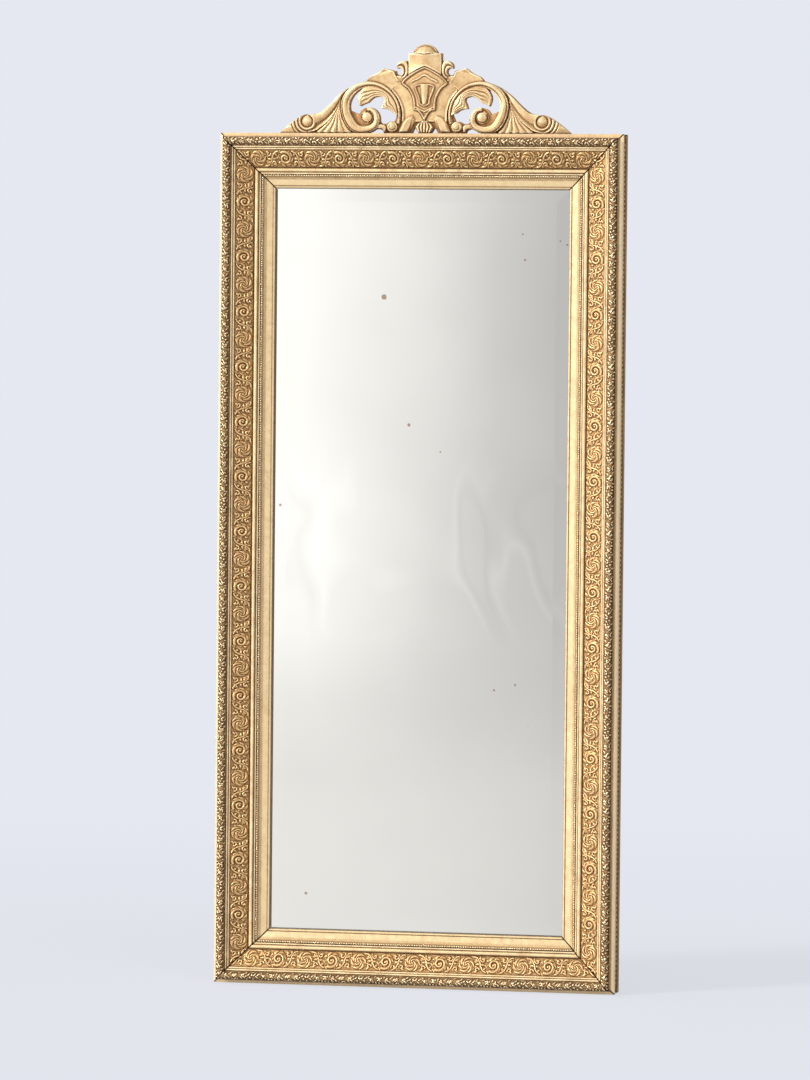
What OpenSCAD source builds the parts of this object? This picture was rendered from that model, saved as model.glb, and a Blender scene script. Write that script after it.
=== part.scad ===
// Gilt pier mirror: mitred composition frame, bevelled plate, pierced carved crest.
// Millimetres. +Z up, the face looks along -Y, X to the right seen from the front.
// The origin is the centre of the box round the whole mirror, at its lowest level.
// Cross-sections are drawn in (w, d): w runs inward from the torus edge, d runs back.

/* [Frame size] */
// Width over the outer torus edges
rim_w = 787; // [640:1:1000]
// Height over the outer torus edges
rim_h = 1660; // [1300:1:2000]
// Depth of the frame, torus crown to back
frame_d = 78; // [77:0.5:86]
// Stand-out of the side fillets past the torus edge
flare = 7.5; // [7:0.5:11]
// Open joint left at each mitre
mitre_gap = 1; // [0.1:0.1:1.5]

/* [Moulding] */
// Radius of the leafy outer torus
torus_r = 8.5; // [7.5:0.25:9.5]
// Thickness of the pressed composition skins
compo_t = 1.5; // [1:0.1:2]
// Width of each of the two reeds
reed_w = 4; // [3:0.25:5]
// Step back from the first reed to the second
reed_step = 3; // [2:0.25:3.5]
// Width of the frieze
frieze_w = 34; // [30:0.5:38]
// How much deeper the frieze lies at its inner edge
frieze_fall = 13; // [9:0.5:14]
// Radius of the astragal
astragal_r = 3.5; // [3:0.25:4]
// Radius of the inner pearl string
pearl_r = 2.5; // [2:0.25:3]
// Radius of the beads in the side channel
bead_r = 2.4; // [2:0.1:2.6]
// Spacing of the side beads
bead_pitch = 9.5; // [7:0.25:14]
// Spacing of the frieze rosettes
rosette_pitch = 54; // [45:1:70]
// Radius of a frieze rosette
rosette_r = 12; // [9:0.5:13]
// Height of a rosette above the frieze
rosette_h = 2.2; // [1:0.1:2.6]

/* [Slip and glass] */
// Visible width of the gilt slip
slip_w = 22.5; // [18:0.5:28]
// How much deeper the slip lies at the sight edge
slip_fall = 9; // [7:0.5:10]
// Thickness of the slip at the sight edge
lip_t = 4.5; // [3.5:0.25:5]
// Width that the slip lip covers of the glass
lip_cover = 9; // [6:0.5:11]
// Thickness of the mirror plate
glass_t = 5.5; // [4:0.5:6]
// Visible width of the bevel
bevel_w = 26; // [15:1:35]
// How much thinner the plate is at its edge
bevel_drop = 2.5; // [1:0.25:3]
// Leg of the triangular glazing blocks
block_leg = 7; // [5:0.5:8]
// Length of a glazing block
block_len = 45; // [30:1:80]

/* [Back] */
// Number of backboards, one above the other
board_n = 6; // [6]
// Thickness of the backboards
board_t = 10; // [8:0.5:11]
// Width of the back rebate wall, torus edge to board edge
rebate_w = 55; // [50:1:60]
// Depth that the mitre keys are let in
key_t = 6; // [4:0.5:8]
// Length of a mitre key across the joint
key_len = 44; // [34:1:50]
// Width of a key at its ends
key_w = 18; // [12:1:20]

/* [Crest] */
// Half the width of the crest
crest_half = 290; // [285:1:310]
// Thickness of the pierced crest board
crest_t = 12; // [10:0.5:14]
// Height of the carved relief on the board
relief_h = 14; // [11:0.5:16]
// Radius of the big volute eye
eye_r = 11.2; // [9:0.2:12]
// Radius of the ball at the end of each wing
ball_r = 12.2; // [10:0.2:13]
// Radius of the small foot volute
foot_r = 10.3; // [8:0.2:11]
// Thickness of the two crest battens
batten_t = 12; // [9:0.5:16]
// Width of a batten
batten_w = 32; // [26:1:40]
// Distance of a batten from the centre line
batten_x = 172; // [165:1:178]

/* [Hangers] */
// Height of the ring pivots above the base
ring_z = 1380; // [1000:1:1500]
// Radius of the ring wire
ring_wire = 2; // [1.5:0.25:2.5]
// Radius of the ring bend, wire centre
ring_r = 16; // [14:0.5:20]
// Width of the steel strap
strap_w = 20; // [18:1:24]
// Length of the strap below the pivot
strap_len = 78; // [70:1:100]
// Thickness of the strap
strap_t = 2; // [1.5:0.25:2.5]

/* [Hidden] */
$fn = 64;

gold = "#C9A46A";
pale_gold = "#E3BE7C";
bright_gold = "#F2D9A0";
brown_gold = "#A8824A";
pine = "#A9805A";
glass_grey = "#DADCDC";
steel = "#5F5B55";

// Clearances
seat_gap = 0.1;      // wood let into wood
board_gap = 1;       // boards and plate in their rebates
board_sink = 1;      // boards behind the back of the frame, where the slip leaves room
pin_gap = 0.06;      // ring wire in its eye
eps = 1;             // overshoot of cutting bodies

// Widths across the moulding, torus edge inward
w_reed = 2 * torus_r + 0.5;
w_frieze = w_reed + 2 * reed_w;
w_frieze_in = w_frieze + frieze_w;
w_astragal = w_frieze_in + 2;
w_pearl = w_astragal + 2 * astragal_r + 4.5;
w_slip = w_pearl + 2 * pearl_r;
w_sight = w_slip + slip_w;
w_glass = w_sight - lip_cover;

// Depths behind the torus crown
quirk = 2;           // step beside the astragal
d_shoulder = torus_r + 1;
d_reed = torus_r + 3;
d_frieze = d_reed + reed_step + 1.5;
d_astragal = d_frieze + frieze_fall + 1.5;
d_pearl = d_astragal + 4.5;
d_slip = d_pearl + 1;
d_sight = d_slip + slip_fall;
d_glass = d_sight + lip_t;
lip_back = d_glass + bevel_drop * bevel_w / (bevel_w + lip_cover) - seat_gap;
d_plate = d_glass + glass_t;
d_slip_back = d_plate + block_leg + 1;
d_board = max(frame_d - board_t - board_sink, d_slip_back + board_gap);
frieze_tilt = atan2(frieze_fall, frieze_w);

// Side wall: cove, front fillet, bead channel, back fillet
cove_in = 3;                     // width at which the cove meets the core of the torus
cove_d = d_shoulder + 6.5;
cove_r = flare + cove_in;
front_fillet = 13.5;
channel_cut = 4;
channel_d = cove_d + cove_r + front_fillet;
channel_w = 22;

// Places in the whole mirror
y_front = -(frame_d + batten_t) / 2;
y_back = y_front + frame_d;
frame_top = rim_h + 2 * flare;
crest_y = y_back - crest_t;

// ---------------------------------------------------------------- placing
// A member is modelled with its section in (x = w, y = d) and its run along z.
module at_left() translate([-rim_w / 2, y_front, flare + rim_h / 2]) children();
module at_right() mirror([1, 0, 0]) at_left() children();
module at_bottom() translate([0, y_front, flare]) mirror([1, 0, -1]) children();
module at_top() translate([0, 0, frame_top]) mirror([0, 0, 1]) at_bottom() children();

// A run of a section, cut at 45 degrees at both ends
module mitred(run, cut = mitre_gap) {
    half = run / 2 - cut / sqrt(2);
    out = flare + eps;
    in = w_sight + eps;
    intersection() {
        translate([0, 0, -half - flare]) linear_extrude(2 * (half + flare)) children();
        translate([0, frame_d + eps, 0]) rotate([90, 0, 0])
            linear_extrude(frame_d + 2 * eps)
                polygon([
                    [-out, -half - out], [in, -half + in], [in, half - in], [-out, half + out]
                ]);
    }
}

// ---------------------------------------------------------------- frame members
module moulding_section() {
    difference() {
        union() {
            polygon([
                [-flare, cove_d], [cove_in, cove_d], [cove_in, d_shoulder],
                [w_reed, d_shoulder], [w_reed, d_reed], [w_reed + reed_w, d_reed],
                [w_reed + reed_w, d_reed + reed_step], [w_frieze, d_reed + reed_step],
                [w_frieze, d_frieze + compo_t], [w_frieze_in, d_frieze + frieze_fall + compo_t],
                [w_frieze_in, d_astragal], [w_astragal + 2 * astragal_r, d_astragal],
                [w_astragal + 2 * astragal_r, d_astragal + quirk], [w_pearl, d_astragal + quirk],
                [w_pearl, d_pearl], [w_slip, d_pearl], [w_slip, d_board],
                [rebate_w, d_board], [rebate_w, frame_d], [-flare, frame_d]
            ]);
            translate([torus_r, torus_r]) circle(torus_r - compo_t);
            for (i = [0, 1]) translate([w_reed + (i + 0.5) * reed_w, d_reed + i * reed_step])
                circle(reed_w / 2 - seat_gap);
            translate([w_astragal + astragal_r, d_astragal]) circle(astragal_r);
        }
        translate([-flare, cove_d]) circle(cove_r);
        translate([-flare - eps, channel_d]) square([channel_cut + eps, channel_w]);
    }
}

// Middle of the back rail between its outer face and the rebate
back_mid = (rebate_w - flare) / 2;

// Bow-tie key let in across a mitre, drawn for the corner at the section's origin
module key_outline(grow = 0) {
    half = key_len / 2 + grow;
    end = key_w / 2 + grow;
    waist = key_w / 4 + grow;
    translate([back_mid, back_mid]) rotate(-45)
        polygon([[-half, -end], [0, -waist], [half, -end], [half, end], [0, waist], [-half, end]]);
}

// Both keys' pockets in a member, cut from its back
module key_pockets(run) {
    for (m = [0, 1]) mirror([0, 0, m])
        translate([0, frame_d + eps, run / 2]) rotate([90, 0, 0])
            linear_extrude(key_t + seat_gap + eps) mirror([0, 1]) key_outline(seat_gap);
}

board_span = rim_h - 2 * (rebate_w + board_gap);
board_h = board_span / board_n;
nail_w = (rebate_w + w_slip) / 2;
nail_r = 1.2;
nail_in = 14;        // length of a nail in the stile
nail_head_r = 3;
nail_head_t = 0.9;
nail_spread = 0.36;  // place of a nail from the middle of its board, as a share of its height

// Nail shanks along a stile, two for each board
module nails_on_stile(r, head) {
    for (i = [0:board_n - 1], k = [-1, 1])
        translate([nail_w, d_board, (i + 0.5 + k * nail_spread) * board_h - board_span / 2])
            rotate([-90, 0, 0]) {
                translate([0, 0, -nail_in]) cylinder(r = r, h = nail_in + board_t + (head ? 0 : eps));
                if (head) translate([0, 0, board_t]) cylinder(r = nail_head_r, h = nail_head_t);
            }
}

module stile_shape() {
    difference() {
        mitred(rim_h) moulding_section();
        key_pockets(rim_h);
        nails_on_stile(nail_r + seat_gap / 2, false);
        hanger_holes_local();
    }
}
module rail_shape() {
    difference() {
        mitred(rim_w) moulding_section();
        key_pockets(rim_w);
    }
}
module stile_left() color(gold) at_left() stile_shape();
module stile_right() color(gold) at_right() stile_shape();
module rail_top() color(gold) difference() {
    at_top() rail_shape();
    batten_screw_set(screw_r + seat_gap / 2, false);
}
module rail_bottom() color(gold) at_bottom() rail_shape();

module mitre_keys() color(pine)
    for (sx = [0, 1], sz = [0, 1])
        translate([0, 0, sz * frame_top]) mirror([0, 0, sz]) mirror([sx, 0, 0])
            translate([-rim_w / 2, y_back, flare]) rotate([90, 0, 0])
                linear_extrude(key_t) key_outline();

// ---------------------------------------------------------------- slip
slip_bevel = 5.5;    // width of the first slope of the slip
sight_bead = 4;      // width of the small bead at the sight edge
module slip_section() {
    polygon([
        [w_slip, d_slip], [w_slip + slip_bevel, d_slip + slip_fall * 0.45],
        [w_sight - sight_bead - 2, d_sight - 2.5], [w_sight - sight_bead, d_sight - 3.5],
        [w_sight - 1, d_sight - 2], [w_sight, d_sight],
        [w_sight, lip_back], [w_glass, lip_back], [w_glass, d_slip_back], [w_slip, d_slip_back]
    ]);
}
module slip_left() color(bright_gold) at_left() mitred(rim_h) slip_section();
module slip_right() color(bright_gold) at_right() mitred(rim_h) slip_section();
module slip_top() color(bright_gold) at_top() mitred(rim_w) slip_section();
module slip_bottom() color(bright_gold) at_bottom() mitred(rim_w) slip_section();

// ---------------------------------------------------------------- composition strips
module leaf_torus_section() {
    intersection() {
        translate([torus_r, torus_r]) difference() {
            circle(torus_r);
            circle(torus_r - compo_t);
        }
        square([2 * torus_r, d_shoulder]);
    }
}
module leaf_torus_left() color(gold) at_left() mitred(rim_h) leaf_torus_section();
module leaf_torus_right() color(gold) at_right() mitred(rim_h) leaf_torus_section();
module leaf_torus_top() color(gold) at_top() mitred(rim_w) leaf_torus_section();
module leaf_torus_bottom() color(gold) at_bottom() mitred(rim_w) leaf_torus_section();

module frieze_section() {
    polygon([
        [w_frieze, d_frieze], [w_frieze_in, d_frieze + frieze_fall],
        [w_frieze_in, d_frieze + frieze_fall + compo_t], [w_frieze, d_frieze + compo_t]
    ]);
}

// One rosette: an outer ring round a hollow with a button in it
module rosette() {
    tube = rosette_r * 0.2;
    rotate_extrude() {
        intersection() {
            union() {
                translate([rosette_r - tube, 0]) circle(tube);
                circle(rosette_r * 0.3);
            }
            square([rosette_r, rosette_h]);
        }
        square([rosette_r - tube, rosette_h * 0.3]);
    }
}
module frieze_shape(run) {
    count = floor((run - 2 * w_frieze_in - 2 * rosette_r) / rosette_pitch);
    mitred(run) frieze_section();
    for (i = [0:count]) translate([
        w_frieze + frieze_w / 2, d_frieze + frieze_fall / 2, (i - count / 2) * rosette_pitch
    ]) rotate([0, 0, frieze_tilt]) rotate([90, 0, 0]) rosette();
}
module frieze_left() color(brown_gold) at_left() frieze_shape(rim_h);
module frieze_right() color(brown_gold) at_right() frieze_shape(rim_h);
module frieze_top() color(brown_gold) at_top() frieze_shape(rim_w);
module frieze_bottom() color(brown_gold) at_bottom() frieze_shape(rim_w);

// A turned string of beads lying on the floor of the side channel
module bead_string(run) {
    floor_w = -flare + channel_cut;
    count = floor((run - 2 * floor_w) / bead_pitch) - 2;
    length = (count + 1) * bead_pitch;
    translate([floor_w, channel_d + channel_w / 2, -length / 2]) rotate([0, 0, 90])
        rotate_extrude(angle = 180) intersection() {
            union() {
                for (i = [0:count]) translate([0, (i + 0.5) * bead_pitch]) circle(bead_r);
                square([bead_r * 0.4, length]);
            }
            square([bead_r, length]);
        }
}
module beads_left() color(gold) at_left() bead_string(rim_h);
module beads_right() color(gold) at_right() bead_string(rim_h);
module beads_top() color(gold) at_top() bead_string(rim_w);
module beads_bottom() color(gold) at_bottom() bead_string(rim_w);

module pearl_section() {
    translate([w_pearl + pearl_r, d_pearl]) intersection() {
        circle(pearl_r - 0.1);
        translate([-pearl_r, -pearl_r]) square([2 * pearl_r, pearl_r]);
    }
}
module pearls_left() color(bright_gold) at_left() mitred(rim_h) pearl_section();
module pearls_right() color(bright_gold) at_right() mitred(rim_h) pearl_section();
module pearls_top() color(bright_gold) at_top() mitred(rim_w) pearl_section();
module pearls_bottom() color(bright_gold) at_bottom() mitred(rim_w) pearl_section();

// ---------------------------------------------------------------- glass and back
plate_x = rim_w / 2 - w_glass - board_gap;
plate_z = rim_h / 2 - w_glass - board_gap;
module mirror_plate() color(glass_grey) {
    inset = bevel_w + lip_cover - board_gap;
    thin = glass_t - bevel_drop;
    translate([0, y_front + d_plate, flare + rim_h / 2]) rotate([90, 0, 0]) hull() {
        linear_extrude(thin) square([2 * plate_x, 2 * plate_z], center = true);
        linear_extrude(glass_t) square([2 * (plate_x - inset), 2 * (plate_z - inset)], center = true);
    }
}

module block_row(run, count) {
    pitch = (run - 2 * w_glass - 2 * block_len) / count;
    for (i = [0:count - 1])
        translate([w_glass, d_plate, (i - (count - 1) / 2) * pitch - block_len / 2])
            linear_extrude(block_len) polygon([[0, 0], [block_leg, 0], [0, block_leg]]);
}
stile_blocks = 5;    // glazing blocks along a stile
rail_blocks = 3;     // glazing blocks along a rail
module glazing_blocks() color(pine) {
    at_left() block_row(rim_h, stile_blocks);
    at_right() block_row(rim_h, stile_blocks);
    at_top() block_row(rim_w, rail_blocks);
    at_bottom() block_row(rim_w, rail_blocks);
}

module backboard(i) color(pine) {
    length = rim_w - 2 * (rebate_w + board_gap);
    difference() {
        translate([
            -length / 2, y_front + d_board, flare + rebate_w + 1.5 * board_gap + i * board_h
        ]) cube([length, board_t, board_h - board_gap]);
        at_left() nails_on_stile(nail_r + seat_gap / 2, false);
        at_right() nails_on_stile(nail_r + seat_gap / 2, false);
    }
}
module backboard_nails() color(steel) {
    at_left() nails_on_stile(nail_r, true);
    at_right() nails_on_stile(nail_r, true);
}

// ---------------------------------------------------------------- crest
// Drawn flat: x from the centre outward, y up from the frame, z out of the board.
module on_crest() translate([0, crest_y, frame_top]) rotate([90, 0, 0]) children();

eye_c = [114.8, 32.6];           // big volute eye
ball_c = [crest_half - 55.6, 24];    // ball at the end of the wing
foot_c = [64.5, 13.4];           // small volute at the foot of the scroll
notch_c = [51.4, 121.5];         // round notch inside the curl, open to the outside
notch_r = 7.2;
cap_half = 33;                   // half width of the drum under the dome
cap_low = 142.5;
cap_top = 157.5;
dome_h = 17.5;
crest_h = cap_top + dome_h;

// Catmull-Rom curve: list of points, steps per span
function blend4(a, b, c, d, t) =
    0.5 * (2 * b + (c - a) * t + (2 * a - 5 * b + 4 * c - d) * t * t
    + (3 * b - a - 3 * c + d) * t * t * t);
function at_end(p, i) = p[max(0, min(len(p) - 1, i))];
function smooth(p, steps = 4) = [
    for (i = [0:len(p) - 2], k = [0:steps - 1])
        blend4(at_end(p, i - 1), p[i], p[i + 1], at_end(p, i + 2), k / steps),
    p[len(p) - 1]
];
function reading(list, at) = let(i = floor(at))
    blend4(at_end(list, i - 1), at_end(list, i), at_end(list, i + 1), at_end(list, i + 2), at - i);

// The C-scroll winds out of its eye. Turn 0 is straight above the eye; the readings
// are the outer radius and the band width at every eighth of a turn.
scroll_out = [18.5, 21.5, 24.6, 28.5, 32, 40, 48.5, 64, 70, 70, 67, 63];
scroll_band = [6, 8, 10.5, 12, 14, 17, 19, 17, 11, 7.5, 6.5, 6];
eighth = 45;
scroll_end = 459;
function scroll_r(turn) = reading(scroll_out, max(0, turn) / eighth) + min(0, turn) / 90;
function band_w(turn) = reading(scroll_band, turn / eighth);
// No point lies below the seat of the crest
function scroll_pt(turn, r) =
    let(p = eye_c + r * [-sin(turn), cos(turn)]) [p[0], max(0, p[1])];
function scroll_arc(from, to, inset, step = 9) = [
    for (t = [from:(to > from ? step : -step):to]) scroll_pt(t, scroll_r(t) - inset * band_w(max(0, t)))
];

// Acanthus leaf under the arch: [turn, outer radius, inner radius] about the eye. An
// outer radius of 0 follows the inner edge of the band.
leaf_rows = [
    [327, 27.5, 25.4], [331, 38.3, 25.6], [337, 45.8, 25.8], [346, 53.7, 26.1], [352, 0, 26.6],
    [364, 0, 28.7], [371, 0, 34], [378, 0, 39.9], [389, 0, 46.5], [401, 0, 49.8], [407, 0, 46.8],
    [411, 0, 40], [420, 0, 33.1], [427, 0, 40.5], [433, 0, 46.5], [442, 0, 53.2]
];
carve_gap = 0.4;     // between neighbouring carved pieces
function band_inner(turn) = scroll_r(turn) - band_w(turn) - carve_gap;
function leaf_outer(row) = row[1] > 0 ? row[1] : band_inner(row[0]);
leaf_edge = concat(
    [
        for (i = [len(leaf_rows) - 1:-1:0])
            if (leaf_rows[i][1] > 0) scroll_pt(leaf_rows[i][0], leaf_rows[i][1])
    ],
    [for (row = leaf_rows) scroll_pt(row[0], row[2])]
);

// Outer contour of the right half, tip to the foot of the curl
wing_edge = smooth([
    [crest_half, 2], [crest_half - 18, 17], [crest_half - 35, 29], [crest_half - 50, 36.4],
    [crest_half - 62, 37.6], [crest_half - 80, 41.5], [192, 55.4], [176, 71.4],
    [161.5, 83], [146.6, 92.2], [130, 99.4], [117, 103.5]
]);
ear_edge = smooth([[117, 103.5], [111, 110.5], [101, 115.5], [92.6, 120], [82, 128]]);
curl_edge = smooth([[56, 129], [55.6, 134], [52.5, 139.2], [46.1, 142.6], [39, 142.4]]);

module crest_half_outline() {
    difference() {
        polygon(concat(
            [[0, 0], [crest_half, 0]], wing_edge, ear_edge, [notch_c], curl_edge,
            [[cap_half, cap_low], [cap_half, cap_top], [0, cap_top]]
        ));
        translate(notch_c) circle(notch_r);
        polygon(concat(
            scroll_arc(290, 344, 1), leaf_edge, scroll_arc(443, 450, 1),
            [[61, 24], [69, 24.5], [78, 19.5], [87, 20]], scroll_arc(108, -72, 0)
        ));
        foot_gap();
        polygon(concat(
            [[81.5, -eps], [83.5, 5.5], [87, 8.2], [92, 9.3]], scroll_arc(146, 178, 0), [[114, -eps]]
        ));
    }
}

// Small triangular opening between the foot lobe and the palmette
module foot_gap() polygon([[11.5, -eps], [27, -eps], [20, 13.4]]);

dome_r = (pow(24.8, 2) + pow(dome_h, 2)) / (2 * dome_h);
module crest_board() color(pale_gold) difference() {
    on_crest() translate([0, 0, -crest_t]) linear_extrude(crest_t) {
        crest_half_outline();
        mirror([1, 0]) crest_half_outline();
        intersection() {
            translate([0, crest_h - dome_r]) circle(dome_r);
            translate([-cap_half, cap_top - eps]) square([2 * cap_half, dome_h + 2 * eps]);
        }
    }
    batten_screw_set(screw_r + seat_gap / 2, false);
}

// A section swept along a list of stations [outer point, inner point, height], taken so
// that the outer points lie on the right of the run. The section runs from the outer
// foot over the top to the inner foot, across 0 to 1 and up to 1.
module sweep(stations, section) {
    n = len(section);
    last = len(stations) - 1;
    points = [
        for (s = stations, c = section)
            let(p = s[0] + c[0] * (s[1] - s[0])) [p[0], p[1], c[1] * s[2]]
    ];
    sides = [
        for (i = [0:last - 1], k = [0:n - 1])
            let(a = i * n + k, b = i * n + (k + 1) % n) each [[a, b, a + n], [b, b + n, a + n]]
    ];
    polyhedron(points, concat([[for (k = [n - 1:-1:0]) k]], sides,
        [[for (k = [0:n - 1]) last * n + k]]), convexity = 10);
}

// A band has a thin outer rim, a hollow, and a broad inner rim
module band(stations) sweep(stations, [
    [0, 0], [0, 0.62], [0.1, 0.8], [0.22, 0.6], [0.52, 0.52], [0.7, 0.9], [0.85, 1], [1, 0.75], [1, 0]
]);

// Rounded ribs side by side, between a left and a right edge that run down alike
module fan(left, right, count, high) sweep(
    [
        for (i = [0:len(left) - 1])
            [left[i], right[i], high * (0.4 + 0.6 * i / (len(left) - 1))]
    ],
    concat([[0, 0]], [
        for (i = [0:count - 1], k = [0:3]) [(i + k / 4 + 0.02) / count, [0.35, 0.85, 1, 0.85][k]]
    ], [[1, 0.35], [1, 0]])
);

// A half ball standing on the board
module boss(centre, r) translate([centre[0], centre[1], 0]) hull() intersection() {
    sphere(r, $fn = 24);
    translate([-r, -r, 0]) cube([2 * r, 2 * r, r]);
}

// The ear: a flat shoulder standing on the arch, beside the round notch
ear_plate = concat(
    ear_edge, [[62, 122.2], [57.5, 112], [56, 107.5], [66, 99]], scroll_arc(393, 360, -0.05)
);

module scroll_half() {
    band([
        for (t = [0:9:scroll_end])
            [scroll_pt(t, scroll_r(t)), scroll_pt(t, scroll_r(t) - band_w(t)),
             relief_h * (t < 270 ? 0.75 + 0.25 * t / 270 : 1 - 0.35 * (t - 270) / (scroll_end - 270))]
    ]);
    boss(eye_c, eye_r);
    boss(foot_c, foot_r);
    sweep([
        for (row = leaf_rows)
            [scroll_pt(row[0], leaf_outer(row)), scroll_pt(row[0], row[2]), relief_h * 0.8]
    ], [
        [0, 0], [0, 0.5], [0.1, 0.75], [0.2, 0.55], [0.36, 0.9], [0.46, 0.6],
        [0.62, 1], [0.72, 0.65], [0.9, 0.8], [1, 0.4], [1, 0]
    ]);
    linear_extrude(relief_h * 0.5) polygon(ear_plate);
}
module crest_scroll_right() color(pale_gold) on_crest() scroll_half();
module crest_scroll_left() color(pale_gold) mirror([1, 0, 0]) crest_scroll_right();

// The wing: a broad hollow sweep that comes down from the arch between its upper
// contour and an S-curve; a small volute; a fan of ribs under the S-curve; and ridges
// concentric with the volute that run out to the tip.
wing_top = [[154.4, 87.6], [164, 80], [176, 70.4], [191, 55.2], [206, 42.2], [217, 38.4]];
wing_low = [[156.4, 84.8], [165.5, 72], [171, 54], [180, 33], [194, 16.5], [211, 8.5]];
wing_steps = 20;
ball_core = 5.6;
ridge_w = 5.6;
ridge_n = 6;
ridge_steps = 8;
function ridge_in(k) = ball_r + carve_gap + k * (ridge_w + k * 0.35);
// Angle at which a circle round the ball leaves the contour, and the one at its foot. The
// first ridge runs on under the ball.
function ridge_top(r) = lookup(r, [
    [13.6, 60], [17.5, 28], [21.2, 11], [38.2, -12.5], [59.8, -23]
]);
function ridge_foot(r) = r < ridge_in(1) ? -150
    : r < ball_c[1] - carve_gap ? -80 : asin((carve_gap - ball_c[1]) / r);
function ridge_pt(r, i) = let(a = ridge_foot(r) + (ridge_top(r) - ridge_foot(r)) * i / ridge_steps)
    ball_c + r * [cos(a), sin(a)];
module wing_half() {
    band([
        for (i = [wing_steps:-1:0]) let(at = i * (len(wing_top) - 1) / wing_steps)
            [reading(wing_top, at), reading(wing_low, at), relief_h * (0.5 + 0.08 * at)]
    ]);
    band([
        for (a = [-240:15:60]) let(dir = [cos(a), sin(a)], out = ball_r - 1.6 * (a + 240) / 300)
            [ball_c + out * dir, ball_c + (ball_core + carve_gap) * dir, relief_h * 0.85]
    ]);
    boss(ball_c, ball_core);
    for (k = [0:ridge_n - 1]) sweep([
        for (i = [0:ridge_steps]) [
            ridge_pt(ridge_in(k + 1) - carve_gap, i), ridge_pt(ridge_in(k), i),
            relief_h * (0.6 - 0.05 * k)
        ]
    ], [[0, 0], [0, 0.4], [0.25, 0.85], [0.6, 1], [0.9, 0.8], [1, 0.4], [1, 0]]);
    fan([[173.5, 47], [167.5, 33], [157.5, 15], [150, 0.6]],
        [[174.5, 47], [178.5, 33], [192.5, 15], [213, 0.6]], 8, relief_h * 0.42);
}
module crest_wing_right() color(pale_gold) on_crest() wing_half();
module crest_wing_left() color(pale_gold) mirror([1, 0, 0]) crest_wing_right();

// Both halves of a contour that starts and ends on the centre line
function mirrored(p) = concat(p, [for (i = [len(p) - 2:-1:1]) [-p[i][0], p[i][1]]]);
cartouche_edge = smooth([
    [0, 131.8], [14.5, 125.4], [30.3, 115.8], [41.5, 106.3], [45.5, 98], [33, 87.5],
    [25.5, 74.5], [22.6, 64.6], [21.8, 52.6], [21, 46], [13.6, 44.6], [7.2, 38], [0, 24.5]
], 3);
field_scale = 0.9;
field_mid = 80;
shield_edge = [[0, 98], [12, 97], [20, 93], [17.4, 82], [12, 68], [11, 58.5], [5, 54.5], [0, 52]];
shield_bow = 90;
foot_lobe = smooth([
    [24, 36], [33, 33.5], [41, 24], [45.5, 12], [44.6, 3],
    [34, 2], [28, 8], [22, 18], [20, 28], [24, 36]
], 3);
module crest_cartouche() color(pale_gold) on_crest() {
    linear_extrude(relief_h * 0.55) polygon(mirrored(cartouche_edge));
    linear_extrude(relief_h * 0.75) difference() {
        polygon(mirrored(cartouche_edge));
        translate([0, field_mid * (1 - field_scale)]) scale(field_scale) polygon(mirrored(cartouche_edge));
    }
    intersection() {
        linear_extrude(relief_h * 1.4) polygon(mirrored(shield_edge));
        translate([0, 0, relief_h * 1.25 - shield_bow]) rotate([-90, 0, 0])
            cylinder(r = shield_bow, h = cap_low);
    }
    fan([[-3, 23.5], [-13, 12], [-19, 0.6]], [[3, 23.5], [13, 12], [19, 0.6]], 5, relief_h * 0.6);
    for (m = [0, 1]) mirror([m, 0, 0]) linear_extrude(relief_h * 0.6) polygon(foot_lobe);
}

// The cap: a bowed drum over the cartouche, a curl at either side, a dome above
drum_foot = 107;
drum_bow = (pow(cap_half, 2) + pow(relief_h - 2, 2)) / (2 * (relief_h - 2));
function curl_out(a) = lookup(a, [
    [60, 9.5], [71, 12.8], [87, 17.3], [104, 21.4], [122, 23.2], [140, 21], [165, 17.2], [210, 15.5]
]);
module crest_cap() color(pale_gold) on_crest() {
    difference() {
        intersection() {
            translate([-cap_half, drum_foot, 0])
                cube([2 * cap_half, cap_top - drum_foot, relief_h]);
            translate([0, 0, relief_h - drum_bow]) rotate([-90, 0, 0])
                cylinder(r = drum_bow, h = crest_h);
        }
        translate([0, 0, -eps]) linear_extrude(relief_h + 2 * eps) polygon(mirrored(cartouche_edge));
    }
    intersection() {
        translate([0, crest_h - dome_r, relief_h - dome_r]) sphere(dome_r);
        translate([-cap_half, cap_top, 0]) cube([2 * cap_half, dome_h, relief_h + eps]);
    }
    for (m = [0, 1]) mirror([m, 0, 0]) band([
        for (a = [60:15:210]) let(dir = [cos(a), sin(a)])
            [notch_c + curl_out(a) * dir, notch_c + (notch_r + 0.6) * dir, relief_h * 0.75]
    ]);
}

// ---------------------------------------------------------------- crest battens
screw_r = 2;
screw_bite = 9;      // length of a batten screw past the batten
screw_sink = 2.5;    // depth of its countersunk head
batten_up = 50;
batten_down = 60;
batten_screw_z = [-46, -20, 12, 36];
module batten_screw_set(r, whole) {
    for (m = [0, 1], z = batten_screw_z) mirror([m, 0, 0])
        translate([batten_x, y_back + batten_t, frame_top + z]) rotate([90, 0, 0]) {
            cylinder(r = r, h = batten_t + screw_bite + (whole ? 0 : eps));
            if (whole) cylinder(r1 = 2 * r, r2 = r, h = screw_sink);
        }
}
module crest_batten(side) color(pine) difference() {
    translate([side * batten_x - batten_w / 2, y_back, frame_top - batten_down])
        cube([batten_w, batten_t, batten_down + batten_up]);
    batten_screw_set(screw_r + seat_gap / 2, false);
    for (z = batten_screw_z) translate([side * batten_x, y_back + batten_t + 0.001, frame_top + z])
        rotate([90, 0, 0])
            cylinder(r1 = 2 * screw_r + seat_gap, r2 = screw_r + seat_gap, h = screw_sink);
}
module crest_batten_left() crest_batten(-1);
module crest_batten_right() crest_batten(1);
module batten_screws() color(steel) batten_screw_set(screw_r, true);

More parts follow.
